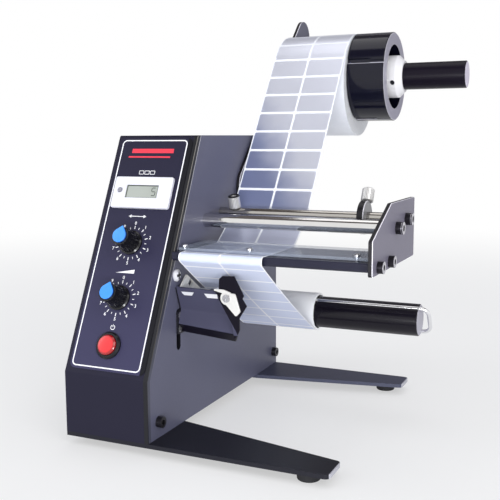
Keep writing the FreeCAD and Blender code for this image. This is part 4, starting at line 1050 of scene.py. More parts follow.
class Datum:
    """Millimetre drawing positions of the machine, turned into the frame's metres."""

    def __init__(self) -> None:
        """Reads the side plate, whose outer face, front and foot are the drawing's zero."""
        low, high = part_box("right_side_plate")
        self.zero = Vector((high.x, low.y, low.z))

    def at(self, x: float, y: float, z: float) -> Vector:
        """A drawing point in the frame, in metres."""
        return Vector([zero + value * MM for zero, value in zip(self.zero, (x, y, z))])


datum = Datum()


def right_face(node: str) -> float:
    """The x of a node's right end, in metres."""
    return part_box(node)[1].x


TOOL_MARKS = Grain(700.0, 3.0, 0.6)


class Finishes:
    """All finishes of the machine, by name."""

    SIDE = SidePaint("side_powder_coat", (0.098, 0.1, 0.152), 0.42, face_x=datum.at(0, 0, 0).x,
                     corner=tuple(datum.at(0, 0, SLOPE_FOOT_Z))[1:])
    SHELL = PowderCoat("shell_powder_coat", (0.014, 0.013, 0.027), 0.4, shine=0.15)
    FRONT_LEG = PowderCoat("front_leg_powder_coat", (0.012, 0.012, 0.018), 0.4, shine=0.2,
                           highlight_x=right_face("front_leg") - LEG_HIGHLIGHT)
    REAR_LEG = PowderCoat("rear_leg_powder_coat", (0.055, 0.06, 0.1), 0.4,
                          highlight_x=right_face("rear_leg") - LEG_HIGHLIGHT)
    BRACKET = PowderCoat("bracket_black", (0.01, 0.01, 0.014), 0.4, shine=0.2)
    PEEL = PowderCoat("peel_gloss_black", (0.018, 0.018, 0.034), 0.2, skin=Grain(500.0, 2.0, 0.55),
                      speck=Grain(950.0, 1.0), depth=0.012, shine=0.2)
    ARM = EdgedPaint("arm_paint", (0.12, 0.12, 0.16), 0.45, face_x=right_face("reel_arm"))
    END_PLATE = EdgedPaint("end_plate_paint", (0.16, 0.15, 0.2), 0.45, face_x=right_face("end_plate"))
    COLLAR = EdgedPaint("collar_black", (0.3, 0.3, 0.32), 0.3, face_x=right_face("right_guide_collar"))
    TRAY = TrayPaint("tray_satin_paint", (0.055, 0.055, 0.092), 0.35,
                     lip_left=tuple(datum.at(1.6, 0, 74.0))[::2], wall_at=tuple(datum.at(34.5, 0, 91.0))[::2])
    CAP_SCREW = CapScrew("cap_screws_black", (0.03, 0.028, 0.035), 0.3,
                         faces=tuple(right_face("end_plate_screws") - step * MM for step in (0.0, 1.0)))
    SIDE_SCREW = CapScrew("side_screws_black", (0.04, 0.038, 0.045), 0.3,
                          faces=(right_face("side_plate_screws"),))
    COVER_SCREW = PanScrew("cover_screws_nickel", (0.72, 0.72, 0.75), 0.3,
                           at=tuple(datum.at(0, 41.5, 108.3))[1:])
    FILM = PrintedFilm("overlay_film", (0.013, 0.012, 0.028), 0.45, margin_x=datum.at(-6.5, 0, 0).x)
    WHITE_INK = Ink("white_ink", (0.88, 0.88, 0.9), 0.5)
    RED_INK = Ink("red_ink", (0.75, 0.03, 0.06), 0.5)
    DISPLAY_INK_AND_PAINTED_SHADE = Ink("display_ink_and_painted_shade", (0.05, 0.06, 0.05), 0.4)
    COUNTER = Moulded("counter_white_plastic", (0.72, 0.72, 0.79), 0.35)
    DISPLAY = Moulded("display_glass", (0.32, 0.345, 0.31), 0.25, coat=0.3)
    RESET = Moulded("reset_grey", (0.24, 0.24, 0.28), 0.45)
    KNOB = Moulded("knob_black", (0.004, 0.004, 0.005), 0.16, depth=0.002, coat=0.3, shine=0.3)
    SWITCH = Moulded("switch_black", (0.006, 0.006, 0.008), 0.28, shine=0.3)
    NYLON = Moulded("hub_nylon", (0.76, 0.75, 0.77), 0.4, skin=Grain(600.0))
    # pale sheet of painted light behind the tray's windows
    WINDOW = Moulded("window_painted_light", (0.68, 0.68, 0.71), 0.35)
    LINER_ROLL = Moulded("wound_liner", (0.95, 0.96, 0.99), 0.3, skin=Grain(300.0))
    BOARD = Moulded("control_board_mask", (0.02, 0.15, 0.06), 0.35, coat=0.3)
    CASE = Moulded("switch_case", (0.02, 0.02, 0.02), 0.5)
    PLUNGER = Moulded("plunger_red", (0.5, 0.05, 0.04), 0.4)
    CAP = ShadedWallCap("cap_blue", (0.02, 0.25, 0.8), 0.22, top=panel_height("length_knob_cap"))
    BUTTON = ShadedWallCap("button_red", (0.72, 0.015, 0.02), 0.25, top=panel_height("power_button"),
                     wall=(0.3, 0.004, 0.006))
    CHROME = Chrome("hard_chrome", (0.76, 0.75, 0.74), 0.09)
    # the same chrome as the front rod, painted darker as painted shade for the front rod's shadow on it
    REAR_CHROME_PAINTED_SHADE = Chrome("rear_rod_chrome_painted_shade", (0.5, 0.48, 0.45), 0.1)
    WIRE = Chrome("bright_wire", (0.85, 0.85, 0.87), 0.12, skin=Grain(1.0, stretch=(60.0, 500.0, 500.0)))
    ZINC = PlatedSteel("bright_zinc", (0.74, 0.74, 0.77), 0.3, skin=TOOL_MARKS)
    BRIGHT_PLATE = PlatedSteel("nickel_plate", (0.7, 0.69, 0.665), 0.3, skin=TOOL_MARKS, metal=0.35)
    BRASS = PlatedSteel("bush_bronze", (0.6, 0.43, 0.22), 0.4, skin=TOOL_MARKS)
    PIVOT = PlatedSteel("pivot_screw", (0.42, 0.42, 0.44), 0.28, metal=0.8)
    SCREW = PlatedSteel("screw_zinc", (0.62, 0.63, 0.67), 0.3)
    BLACK_SCREW = PlatedSteel("screw_black_oxide", (0.05, 0.05, 0.06), 0.35)
    # its top face painted near black as a painted dark reflection
    LEFT_THUMB = Knurled.on_rod("left_thumb_knurl", 12.6, 9.05, 16.0, (0.02, 0.02, 0.022))
    RIGHT_THUMB = Knurled.on_rod("right_thumb_knurl", 113.5, 17.1, -28.0, (0.8, 0.79, 0.78))
    SHAFT = Turned("reel_shaft_black", (0.006, 0.004, 0.01), 0.3, shine=0.14, end_x=datum.at(159.9, 0, 0).x,
                   end_colour=(0.62, 0.58, 0.68))
    REWIND = Turned("rewind_shaft_black", (0.006, 0.005, 0.009), 0.2, end_x=datum.at(147.9, 0, 0).x,
                    end_colour=(0.4, 0.39, 0.45))
    RING = StepRing("stop_ring_black", (0.004, 0.004, 0.011), 0.12, shine=0.35, end_x=datum.at(99.7, 0, 0).x,
                    end_colour=(0.33, 0.32, 0.39), origin=(0.0, *tuple(datum.at(0, *REEL_AXIS))[1:]))
    RUBBER = Rubber("foot_rubber", (0.012, 0.012, 0.014), 0.75)
    ACRYLIC = Acrylic("clear_acrylic", (0.5, 0.56, 0.68), 0.066)
    FOIL = LabelPrint("foil_labels", (0.76, 0.78, 0.88), 0.32)
    ROLL_FOIL = LabelPrint("wound_foil_labels", (0.88, 0.9, 0.95), 0.3, sheen=0.1, veil=0.6,
                           painted_shade_span=(900.0, 1000.0))
    ROLL_END = WoundEnd("roll_end_layers", (0.82, 0.83, 0.86), 0.6)
    LINER = Paper("returning_liner", (0.62, 0.67, 0.83), 0.4)
    CARD = Card("core_card", (0.5, 0.4, 0.27), 0.8)


class Body(Enum):
    """The moving bodies of the machine."""

    FRAME = "machine_frame"
    REEL = "label_reel"
    STOP = "roll_stop"
    REWIND = "liner_rewind"
    CLIP = "liner_clip"
    LENGTH = "length_dial"
    SPEED = "speed_dial"
    POWER = "power_push_button"
    RESET = "counter_reset"
    COLLAR = "right_collar"
    RIGHT_THUMB = "right_collar_thumbscrew"
    LEFT_THUMB = "left_rod_thumbscrew"
    CARRIER = "sensor_carrier"
    LEVER = "sensor_lever"


class Maker:
    """Turns bmesh work into objects."""

    @staticmethod
    def thing(name: str, work: bmesh.types.BMesh) -> bpy.types.Object:
        """Makes an object of a finished mesh.

        Args:
            name: the object's name.
            work: the mesh, with its place in its points; it is freed.

        Returns:
            The new object.
        """
        mesh = bpy.data.meshes.new(name)
        work.to_mesh(mesh)
        work.free()
        made = bpy.data.objects.new(name, mesh)
        bpy.context.scene.collection.objects.link(made)
        return made

    @staticmethod
    def piece(name: str, work: bmesh.types.BMesh, finish: Finish, body: Body, slot: str,
              sharp: float = SHARP_ANGLE) -> bpy.types.Object:
        """Makes a smooth-shaded piece that rides on the machine.

        Args:
            name: the piece's name.
            work: the mesh, with its place in its points; it is freed.
            finish: its finish.
            body: the body that it rides on.
            slot: the record's material slot; not used.
            sharp: the angle in degrees above which an edge stays sharp.

        Returns:
            The new object.
        """
        limit = math.radians(sharp)
        for face in work.faces:
            face.smooth = True
        for edge in work.edges:
            edge.smooth = len(edge.link_faces) == 2 and edge.calc_face_angle(0.0) < limit
        made = Maker.thing(name, work)
        made.data.materials.append(finish.material())
        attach(made, body.value)
        log.info("piece %s: %d faces", name, len(made.data.polygons))
        return made

    @staticmethod
    def shift(work: bmesh.types.BMesh, grown: dict, move: Sequence[float]) -> None:
        """Moves the points that an extrusion made by a distance in metres."""
        points = [item for item in grown["geom"] if isinstance(item, bmesh.types.BMVert)]
        bmesh.ops.translate(work, verts=points, vec=move)

    @staticmethod
    def closed(work: bmesh.types.BMesh, distance: float) -> None:
        """Merges a mesh's double points and turns its faces outwards."""
        bmesh.ops.remove_doubles(work, verts=work.verts, dist=distance)
        bmesh.ops.recalc_face_normals(work, faces=work.faces)


@dataclass(frozen=True)
class Part:
    """How a CAD node is shown: dressed as it is or, where a slot is named, by a smooth copy."""

    node: str
    finish: Finish
    slot: str = ""
    bevel_mm: float = 0.0
    body: Body = Body.FRAME
    sharp: float = SHARP_ANGLE

    def show(self) -> None:
        """Gives the node its finish, or stands a copy for it with merged faces and softened edges."""
        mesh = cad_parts[self.node].data
        if not self.slot:
            mesh.materials.clear()
            mesh.materials.append(self.finish.material())
            log.info("node %s: %s", self.node, self.finish.name)
            return
        work = bmesh.new()
        work.from_mesh(mesh)
        bmesh.ops.remove_doubles(work, verts=work.verts, dist=CAD_MERGE)
        flat = math.radians(FLAT_ANGLE)
        bmesh.ops.dissolve_limit(work, angle_limit=flat, verts=work.verts, edges=work.edges)
        made = Maker.piece(self.node + "_finished", work, self.finish, self.body, self.slot, self.sharp)
        if self.bevel_mm:
            soften = made.modifiers.new("softened_edges", "BEVEL")
            soften.width = self.bevel_mm * MM
            soften.segments = 2
            soften.limit_method = "ANGLE"
            soften.angle_limit = math.radians(self.sharp)
            soften.harden_normals = True
        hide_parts(self.node)


@dataclass
class Assembly:
    """A sub-assembly, and how its CAD nodes are shown."""

    parts: tuple[Part, ...] = ()

    def dress(self) -> None:
        """Shows the sub-assembly's nodes, in order."""
        for part in self.parts:
            part.show()

    def build(self) -> None:
        """Makes the sub-assembly's own pieces; none here."""


@dataclass
class ControlBox(Assembly):
    """Side plates, folded shell, base, legs and their fasteners."""

    parts: tuple[Part, ...] = (
        Part("right_side_plate", Finishes.SIDE, "side_steel", 0.35),
        Part("panel_shell", Finishes.SHELL, "shell_steel"),
        Part("front_leg", Finishes.FRONT_LEG, "leg_steel", 0.35),
        Part("rear_leg", Finishes.REAR_LEG, "leg_steel", 0.35),
        Part("rubber_feet", Finishes.RUBBER, "foot_rubber", 0.3),
        Part("left_side_cover", Finishes.SHELL, "shell_steel"),
        Part("rear_cover", Finishes.SHELL, "shell_steel"),
        Part("base_plate", Finishes.SHELL, "shell_steel"),
        Part("side_plate_screws", Finishes.SIDE_SCREW, "screw_steel"),
        Part("cover_screws", Finishes.COVER_SCREW, "screw_steel"),
        Part("leg_bolts", Finishes.BLACK_SCREW, "black_screw"),
    )


@dataclass
class Marks:
    """Flat marks at one height over the sloped panel: x across and s down the slope, in millimetres."""

    work: bmesh.types.BMesh
    rise: float
    thick: float

    def flat(self, corners: Sequence[Point]) -> None:
        """Adds a mark.

        Args:
            corners: its (x, s) corners.
        """
        points = [self.work.verts.new((x * MM, -s * MM, self.rise * MM)) for x, s in corners]
        grown = bmesh.ops.extrude_face_region(self.work, geom=[self.work.faces.new(points)])
        Maker.shift(self.work, grown, (0, 0, self.thick * MM))

    def bar(self, start: Point, end: Point, width: float) -> None:
        """Adds a straight bar.

        Args:
            start: the middle of one end.
            end: the middle of the other.
            width: how wide it is.
        """
        dx, ds = end[0] - start[0], end[1] - start[1]
        half = width / 2 / math.hypot(dx, ds)
        nx, ns = -ds * half, dx * half
        self.flat([(start[0] + nx, start[1] + ns), (start[0] - nx, start[1] - ns),
                   (end[0] - nx, end[1] - ns), (end[0] + nx, end[1] + ns)])

    def outline(self, corners: Sequence[Point], width: float) -> None:
        """Adds a closed line of bars through its corners."""
        for start, end in zip(corners, (*corners[1:], corners[0])):
            self.bar(start, end, width)

    @staticmethod
    def round_place(centre: Point, radius: float, degrees: float) -> Point:
        """The place at a radius from a centre, clockwise from the top."""
        angle = math.radians(degrees)
        return centre[0] + math.sin(angle) * radius, centre[1] - math.cos(angle) * radius

    def arc(self, centre: Point, radius: float, span: Point, width: float, steps: int = 20) -> None:
        """Adds an arc.

        Args:
            centre: its centre.
            radius: the radius of its middle line.
            span: its first and last angle in degrees, clockwise from the top.
            width: how wide it is.
            steps: how many flat pieces it has.
        """
        inner, outer = radius - width / 2, radius + width / 2
        angles = [span[0] + (span[1] - span[0]) * i / steps for i in range(steps + 1)]
        for a, b in zip(angles, angles[1:]):
            corners = ((inner, a), (inner, b), (outer, b), (outer, a))
            self.flat([self.round_place(centre, reach, angle) for reach, angle in corners])

    def number(self, text: str, place: Point, size: float, weight: float = 0.012) -> None:
        """Adds a number.

        Args:
            text: the number.
            place: its middle.
            size: its height.
            weight: how much bolder it is, as a share of its height.
        """
        curve = bpy.data.curves.new("number_" + text, "FONT")
        curve.body = text
        curve.size = size * MM
        curve.extrude = self.thick * MM / 2
        curve.offset = size * MM * weight
        curve.align_x = "CENTER"
        curve.align_y = "CENTER"
        curve.resolution_u = 4
        holder = bpy.data.objects.new("number", curve)
        mesh = bpy.data.meshes.new_from_object(holder)
        mesh.transform(Matrix.Translation((place[0] * MM, -place[1] * MM, (self.rise + self.thick / 2) * MM)))
        self.work.from_mesh(mesh)
        bpy.data.objects.remove(holder)
        bpy.data.meshes.remove(mesh)
        bpy.data.curves.remove(curve)

    def finish(self, name: str, finish: Finish, slot: str) -> None:
        """Puts the marks on the panel.

        Args:
            name: the piece's name.
            finish: its finish.
            slot: its material slot.
        """
        Maker.closed(self.work, MARK_MERGE)
        self.work.transform(Matrix.Translation(datum.at(0, *SLOPE_TOP)) @ Matrix.Rotation(SLOPE, 4, "X"))
        Maker.piece(name, self.work, finish, Body.FRAME, slot)


@dataclass
class Panel(Assembly):
    """The sloped control panel: overlay, printed scales, counter, dials and switch."""

    parts: tuple[Part, ...] = (
        Part("panel_overlay", Finishes.FILM),
        Part("counter_housing", Finishes.COUNTER, "counter_white", 0.25),
        Part("counter_display", Finishes.DISPLAY),
        Part("counter_reset_button", Finishes.RESET, "reset_grey", body=Body.RESET),
        Part("potentiometers", Finishes.ZINC),
        Part("length_pot_shaft", Finishes.ZINC),
        Part("length_knob", Finishes.KNOB, "knob_black", body=Body.LENGTH, sharp=28.0),
        Part("length_knob_cap", Finishes.CAP, "cap_blue", 0.3, Body.LENGTH),
        Part("speed_pot_shaft", Finishes.ZINC),
        Part("speed_knob", Finishes.KNOB, "knob_black", body=Body.SPEED, sharp=28.0),
        Part("speed_knob_cap", Finishes.CAP, "cap_blue", 0.3, Body.SPEED),
        Part("power_switch", Finishes.SWITCH, "switch_black"),
        Part("power_button", Finishes.BUTTON, "button_red", body=Body.POWER),
    )
    overlay: float = 0.4
    ink: float = 0.05
    border: tuple[float, float, float, float] = (-61.6, -6.9, 3.9, 174.0)
    border_width: float = 0.85
    border_corner: float = 3.4
    dial_x: float = -35.2
    dial_s: Point = (83.8, 124.3)
    dial_numbers: int = 10
    ticks: tuple[Point, Point] = ((12.9, 0.6), (12.1, 0.44))
    tick_start: float = 10.6
    number_radius: float = 14.9
    number_size: float = 3.3
    label_rows: tuple[float, ...] = (-6.6, -2.0, 2.6)
    rows_s: float = 28.4
    row_size: Point = (3.6, 2.6)
    row_line: float = 0.4
    arrow_s: float = 63.6
    arrow: tuple[float, float, float] = (7.0, 7.4, 5.0)
    arrow_half: float = 1.2
    arrow_line: float = 0.5
    wedge_s: float = 104.6
    wedge: tuple[Point, ...] = ((-7.6, 1.4), (7.4, 1.4), (7.4, -1.5))
    power_s: float = 145.1
    power_r: float = 1.6
    power_span: Point = (32.0, 328.0)
    power_bar: Point = (-2.1, -0.2)
    power_line: float = 0.45
    stripes: tuple[tuple[Point, Point, float], ...] = (
        ((-52.0, 12.6), (-17.0, 12.6), 3.4),
        ((-54.0, 17.4), (-19.0, 17.4), 1.2),
    )
    display_centre: Point = (-34.8, 45.4)
    display_rise: float = 2.62
    display_half: Point = (12.9, 4.9)
    # painted shade lines inside the window's recess, as (side, width)
    recess_shade_lines: tuple[Point, ...] = ((-1, 0.8), (1, 0.3))
    recess_shade_thick: float = 0.03
    recess_shade_step: float = 0.01
    digit_x: float = 9.6
    digit_half: Point = (1.5, 2.9)
    digit_trim: float = 0.25
    digit_thick: float = 0.04
    digit_width: float = 0.64

    def rounded(self, inset: float, steps: int = 8) -> list[Point]:
        """Finds a loop inside the border's outer edge.

        Args:
            inset: how far inside it runs.
            steps: how many steps each corner has.

        Returns:
            The loop's (x, s) places.
        """
        left, right, top, bottom = self.border
        corner = self.border_corner
        radius = corner - inset
        centres = ((right - corner, top + corner), (left + corner, top + corner),
                   (left + corner, bottom - corner), (right - corner, bottom - corner))
        points = []
        for quarter, (x, s) in enumerate(centres):
            for i in range(steps + 1):
                angle = math.pi / 2 * (quarter + i / steps)
                points.append((x + radius * math.cos(angle), s - radius * math.sin(angle)))
        return points

    def border_line(self, marks: Marks) -> None:
        """Adds the line round the panel, as a loop of small flat pieces.

        Args:
            marks: the marks that they join.
        """
        outer, inner = self.rounded(0.0), self.rounded(self.border_width)
        for i in range(len(outer)):
            marks.flat([outer[i - 1], inner[i - 1], inner[i], outer[i]])

    def scale(self, marks: Marks, s: float) -> None:
        """Adds one dial's numbers, and its ticks: a long one at each number and a short one between.

        Args:
            marks: the marks that they join.
            s: the dial's place down the slope.
        """
        dial = (self.dial_x, s)
        step = 360 / self.dial_numbers
        for i in range(2 * self.dial_numbers):
            reach, width = self.ticks[i % 2]
            ends = (marks.round_place(dial, radius, step / 2 * i) for radius in (self.tick_start, reach))
            marks.bar(*ends, width)
        for i in range(self.dial_numbers):
            marks.number(str(i), marks.round_place(dial, self.number_radius, step * i), self.number_size)

    def signs(self, marks: Marks) -> None:
        """Adds generic signs: label rows, a length arrow, a speed wedge and a power mark.

        Args:
            marks: the marks that they join.
        """
        x = self.dial_x
        for place in self.label_rows:
            left, right = x + place, x + place + self.row_size[0]
            top, bottom = self.rows_s, self.rows_s + self.row_size[1]
            marks.outline([(left, top), (right, top), (right, bottom), (left, bottom)], self.row_line)
        (reach, tip, foot), half, line = self.arrow, self.arrow_half, self.arrow_line
        s = self.arrow_s
        marks.bar((x - reach, s), (x + reach, s), line)
        for side in (-1, 1):
            head = [(x + side * tip, s), (x + side * foot, s - half), (x + side * foot, s + half)]
            marks.flat(head[::side])
        marks.flat([(x + across, self.wedge_s + down) for across, down in self.wedge])
        s = self.power_s
        marks.arc((x, s), self.power_r, self.power_span, self.power_line)
        marks.bar((x, s + self.power_bar[0]), (x, s + self.power_bar[1]), self.power_line)

    def display_marks(self, work: bmesh.types.BMesh) -> None:
        """Adds a five-segment digit, and dark lines of painted shade where the window's recess starts.

        Args:
            work: the mesh that they join.
        """
        x, s = self.display_centre
        middle = x + self.digit_x
        wide, high = self.digit_half
        digit = Marks(work, self.display_rise, self.digit_thick)
        path = ((wide, -high), (-wide, -high), (-wide, 0.0), (wide, 0.0), (wide, high), (-wide, high))
        for (x0, s0), (x1, s1) in zip(path, path[1:]):
            trim = self.digit_trim / math.hypot(x1 - x0, s1 - s0)
            places = [(middle + x0 + (x1 - x0) * t, s + s0 + (s1 - s0) * t) for t in (trim, 1 - trim)]
            digit.bar(*places, self.digit_width)
        # painted shade of the recess, thicker at the left and top
        sides = Marks(work, self.display_rise, self.recess_shade_thick)
        ends = Marks(work, self.display_rise + self.recess_shade_step, self.recess_shade_thick)
        half_w, half_h = self.display_half
        for side, width in self.recess_shade_lines:
            at = x + side * (half_w - width / 2)
            sides.bar((at, s - half_h), (at, s + half_h), width)
            at = s + side * (half_h - width / 2)
            ends.bar((x - half_w, at), (x + half_w, at), width)

    def build(self) -> None:
        """Makes the printed marks."""
        white = Marks(bmesh.new(), self.overlay, self.ink)
        self.border_line(white)
        for s in self.dial_s:
            self.scale(white, s)
        self.signs(white)
        white.finish("printed_white_marks", Finishes.WHITE_INK, "counter_white")
        red = Marks(bmesh.new(), self.overlay, self.ink)
        for start, end, width in self.stripes:
            red.bar(start, end, width)
        red.finish("printed_red_stripes", Finishes.RED_INK, "button_red")
        # the digit and the painted recess shade, in one piece
        segments = Marks(bmesh.new(), self.display_rise, self.ink)
        self.display_marks(segments.work)
        segments.finish("display_digit_and_painted_shade", Finishes.DISPLAY_INK_AND_PAINTED_SHADE, "reset_grey")


@dataclass
class Reel(Assembly):
    """Arm, shaft, label roll and roll stop."""

    parts: tuple[Part, ...] = (
        Part("reel_arm", Finishes.ARM, "arm_steel", 0.35),
        Part("reel_shaft", Finishes.SHAFT, "shaft_black"),
        Part("roll_core", Finishes.CARD, "core_card", body=Body.REEL),
        Part("roll_stop_ring", Finishes.RING, "ring_black", 0.5, Body.STOP, 25.0),
        Part("roll_stop_hub", Finishes.NYLON, "hub_white", 0.3, Body.STOP),
        Part("stop_set_screw", Finishes.BLACK_SCREW),
    )
    roll: Point = (243.0, 246.6)
    roll_r: float = 42.5
    core_r: float = 20.0
    steps: int = 128
    layers_inset: float = 0.03

    def spun(self, profile: Sequence[Point], centre: Vector, closed: bool) -> bmesh.types.BMesh:
        """Spins a profile about the roll's axis.

        Args:
            profile: (x, radius) corners in metres.
            centre: a point on the axis.
            closed: whether the profile's last corner joins its first.

        Returns:
            The mesh, its seam open where the profile is.
        """
        work = bmesh.new()
        row = [work.verts.new((x, centre.y, centre.z + radius)) for x, radius in profile]
        edges = [work.edges.new(pair) for pair in zip(row, row[1:])]
        if closed:
            edges.append(work.edges.new((row[-1], row[0])))
        bmesh.ops.spin(work, geom=row + edges, cent=centre, axis=(1, 0, 0), angle=math.tau, steps=self.steps,
                       use_merge=closed)
        return work

    def skin(self, low: Vector, high: Vector, centre: Vector) -> bmesh.types.BMesh:
        """The roll's printed outside, with a UV map in millimetres, across and round.

        Args:
            low: the roll's low corner.
            high: the roll's high corner.
            centre: a point on its axis.

        Returns:
            The mesh.
        """
        outer = self.roll_r * MM
        work = self.spun([(low.x, outer), (high.x, outer)], centre, closed=False)
        layer = work.loops.layers.uv.new("web")
        for face in work.faces:
            angles = [math.atan2(loop.vert.co.y - centre.y, loop.vert.co.z - centre.z) for loop in face.loops]
            wrap = max(angles) - min(angles) > math.pi
            for loop, angle in zip(face.loops, angles):
                turn = angle + math.tau if wrap and angle < 0 else angle
                loop[layer].uv = ((loop.vert.co.x - low.x) / MM, (turn + math.tau) * self.roll_r)
        Maker.closed(work, ROLL_MERGE)
        for face in work.faces:
            outward = face.calc_center_median() - centre
            outward.x = 0.0
            if face.normal.dot(outward) < 0:
                face.normal_flip()
        return work

    def build(self) -> None:
        """Makes the wound labels: printed skin and layered ends."""
        low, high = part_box("label_roll")
        centre = datum.at(0, *self.roll)
        skin = self.skin(low, high, centre)
        Maker.piece("label_roll_skin", skin, Finishes.ROLL_FOIL, Body.REEL, "label_silver")
        inset = self.layers_inset * MM
        inner, outer = self.core_r * MM, self.roll_r * MM - inset
        left, right = low.x + inset, high.x - inset
        ends = self.spun([(left, inner), (left, outer), (right, outer), (right, inner)], centre, closed=True)
        Maker.closed(ends, ROLL_MERGE)
        made = Maker.piece("label_roll_layers", ends, Finishes.ROLL_END, Body.REEL, "label_silver")
        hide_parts("label_roll")


@dataclass
class Web(Assembly):
    """Label web from the roll over the peel plate, and the bare liner that goes back."""

    rod_r: float = 4.0
    loose: Point = (243.0, 241.9)
    loose_r: float = 47.5
    rewind: Point = (145.0, 68.0)
    rewind_r: float = 14.5
    plate_front: float = 36.0
    plate_rear: float = 91.0
    plate_top: float = 125.3
    entry_start: float = 0.6
    entry: tuple[Point, ...] = ((1.4, 0.9), (0.2, 0.25), (-1.2, 0.0))
    turn_steps: int = 20
    rod_steps: int = 14
    nose_steps: int = 18
    nose_gap: float = 0.4
    lift: float = 0.03
    web_t: float = 0.3
    liner_t: float = 0.2
    label_sheet: Point = (0.2, 5.0)
    liner_sheet: Point = (0.15, 3.0)
    sheet_sharp: float = 60.0
    gap: float = 0.12
    clear: float = 0.3
    nose_r: float = 3.4
    nose_span: Point = (97.0, 235.0)
    sag_y: float = 75.0
    sag: float = 1.6
    sag_steps: int = 24

    @staticmethod
    def arc(centre: Point, radius: float, start: float, end: float, steps: int) -> list[Point]:
        """Points of an arc in the (y, z) plane, its angles in radians from +y."""
        angles = [start + (end - start) * i / steps for i in range(steps + 1)]
        return [(centre[0] + radius * math.cos(a), centre[1] + radius * math.sin(a)) for a in angles]

    @staticmethod
    def tangent(start: Point, end: Point, radii: float) -> float:
        """The heading of a line from one place to another that leans in by the radii it has to clear."""
        dy, dz = end[0] - start[0], end[1] - start[1]
        return math.atan2(dz, dy) - math.asin(radii / math.hypot(dy, dz))

    def path_down(self) -> list[Point]:
        """Draws the label web's middle line, from the roll's loose outer turn to the peel plate's nose.

        Returns:
            Its (y, z) points.
        """
        rod_r = self.rod_r + self.gap + self.web_t / 2
        turn_r = self.loose_r + self.web_t / 2
        upper = self.tangent(REAR_ROD, self.loose, -rod_r - turn_r)
        edge = (self.plate_rear + self.entry_start, self.plate_top + self.web_t / 2)
        lower = self.tangent(edge, REAR_ROD, rod_r)
        points = self.arc(self.loose, turn_r, math.pi / 2, upper + math.pi / 2, self.turn_steps)
        points += self.arc(REAR_ROD, rod_r, upper - math.pi / 2, lower - math.pi / 2, self.rod_steps)
        level = self.plate_top + self.web_t / 2 + self.lift
        points += [(self.plate_rear + step, level + rise) for step, rise in self.entry]
        return points + [(self.plate_front + self.nose_gap, level)]

    def path_back(self) -> list[Point]:
        """Draws the liner's middle line: a loose loop round the plate's nose, then under the wound liner.

        Returns:
            Its (y, z) points.
        """
        centre = (self.plate_front, self.plate_top + self.gap + self.liner_t / 2 - self.nose_r)
        span = (math.radians(angle) for angle in self.nose_span)
        points = self.arc(centre, self.nose_r, *span, self.nose_steps)
        low = points[-1]
        r = self.rewind_r + self.clear + self.liner_t / 2
        line = self.tangent(low, self.rewind, r)
        end = (self.rewind[0] + r * math.sin(line), self.rewind[1] - r * math.cos(line))
        share = (self.sag_y - low[0]) / (end[0] - low[0])
        depth = self.sag / (share * (1 - share))
        run, rise = end[0] - low[0], end[1] - low[1]
        for i in range(1, self.sag_steps + 1):
            t = i / self.sag_steps
            points.append((low[0] + run * t, low[1] + rise * t - depth * t * (1 - t)))
        return points

    def strip(self, name: str, path: Sequence[Point], finish: Finish, slot: str, thick: float,
              start: float) -> bpy.types.Object:
        """Makes a thin strip along a path, as wide as the web, with its own UV map in millimetres.

        Args:
            name: the piece's name.
            path: (y, z) points in millimetres.
            finish: its finish.
            slot: its material slot.
            thick: its thickness in millimetres.
            start: distance along the web at the first point, in millimetres.

        Returns:
            The new object.
        """
        low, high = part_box("label_web")
        work = bmesh.new()
        points = [Vector((low.x, *tuple(datum.at(0, y, z))[1:])) for y, z in path]
        row = [work.verts.new(point) for point in points]
        edges = [work.edges.new(pair) for pair in zip(row, row[1:])]
        Maker.shift(work, bmesh.ops.extrude_edge_only(work, edges=edges), (high.x - low.x, 0, 0))
        stations = [(points[0], start)]
        for a, b in zip(points, points[1:]):
            stations.append((b, stations[-1][1] + (b - a).length / MM))
        layer = work.loops.layers.uv.new("web")
        for face in work.faces:
            for loop in face.loops:
                co = loop.vert.co
                along = min(stations, key=lambda station: (co.yz - station[0].yz).length)[1]
                loop[layer].uv = ((co.x - low.x) / MM, along)
        made = Maker.piece(name, work, finish, Body.FRAME, slot, self.sheet_sharp)
        thicken = made.modifiers.new("strip_thickness", "SOLIDIFY")
        thicken.thickness = thick * MM
        thicken.offset = 0.0
        return made

    def build(self) -> None:
        """Makes both strips."""
        path_down, path_back = self.path_down(), self.path_back()
        down = self.strip("label_web_strip", path_down, Finishes.FOIL, "label_silver", *self.label_sheet)
        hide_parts("label_web")
        back = self.strip("liner_return_strip", path_back, Finishes.LINER, "liner_white", *self.liner_sheet)
        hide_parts("liner_return")


@dataclass
class Guides(Assembly):
    """Rods, guide collar, thumbscrews and the end plate."""

    parts: tuple[Part, ...] = (
        Part("rear_guide_rod", Finishes.REAR_CHROME_PAINTED_SHADE, "chrome_rod"),
        Part("front_guide_rod", Finishes.CHROME, "chrome_rod"),
        Part("right_guide_collar", Finishes.COLLAR, "collar_black", body=Body.COLLAR),
        Part("left_thumbscrew", Finishes.LEFT_THUMB, "thumb_steel", body=Body.LEFT_THUMB),
        Part("right_thumbscrew", Finishes.RIGHT_THUMB, "thumb_steel", body=Body.RIGHT_THUMB),
        Part("end_plate", Finishes.END_PLATE, "end_plate_paint", 0.3),
        Part("end_plate_screws", Finishes.CAP_SCREW, "screw_steel"),
    )


@dataclass
class PeelStation(Assembly):
    """Peel plate and its clear presser strip."""

    parts: tuple[Part, ...] = (
        Part("peel_plate", Finishes.PEEL, "peel_black", 0.2),
        Part("presser_strip", Finishes.ACRYLIC, "clear_acrylic", 0.3),
        Part("presser_screws", Finishes.SCREW, "screw_steel"),
    )


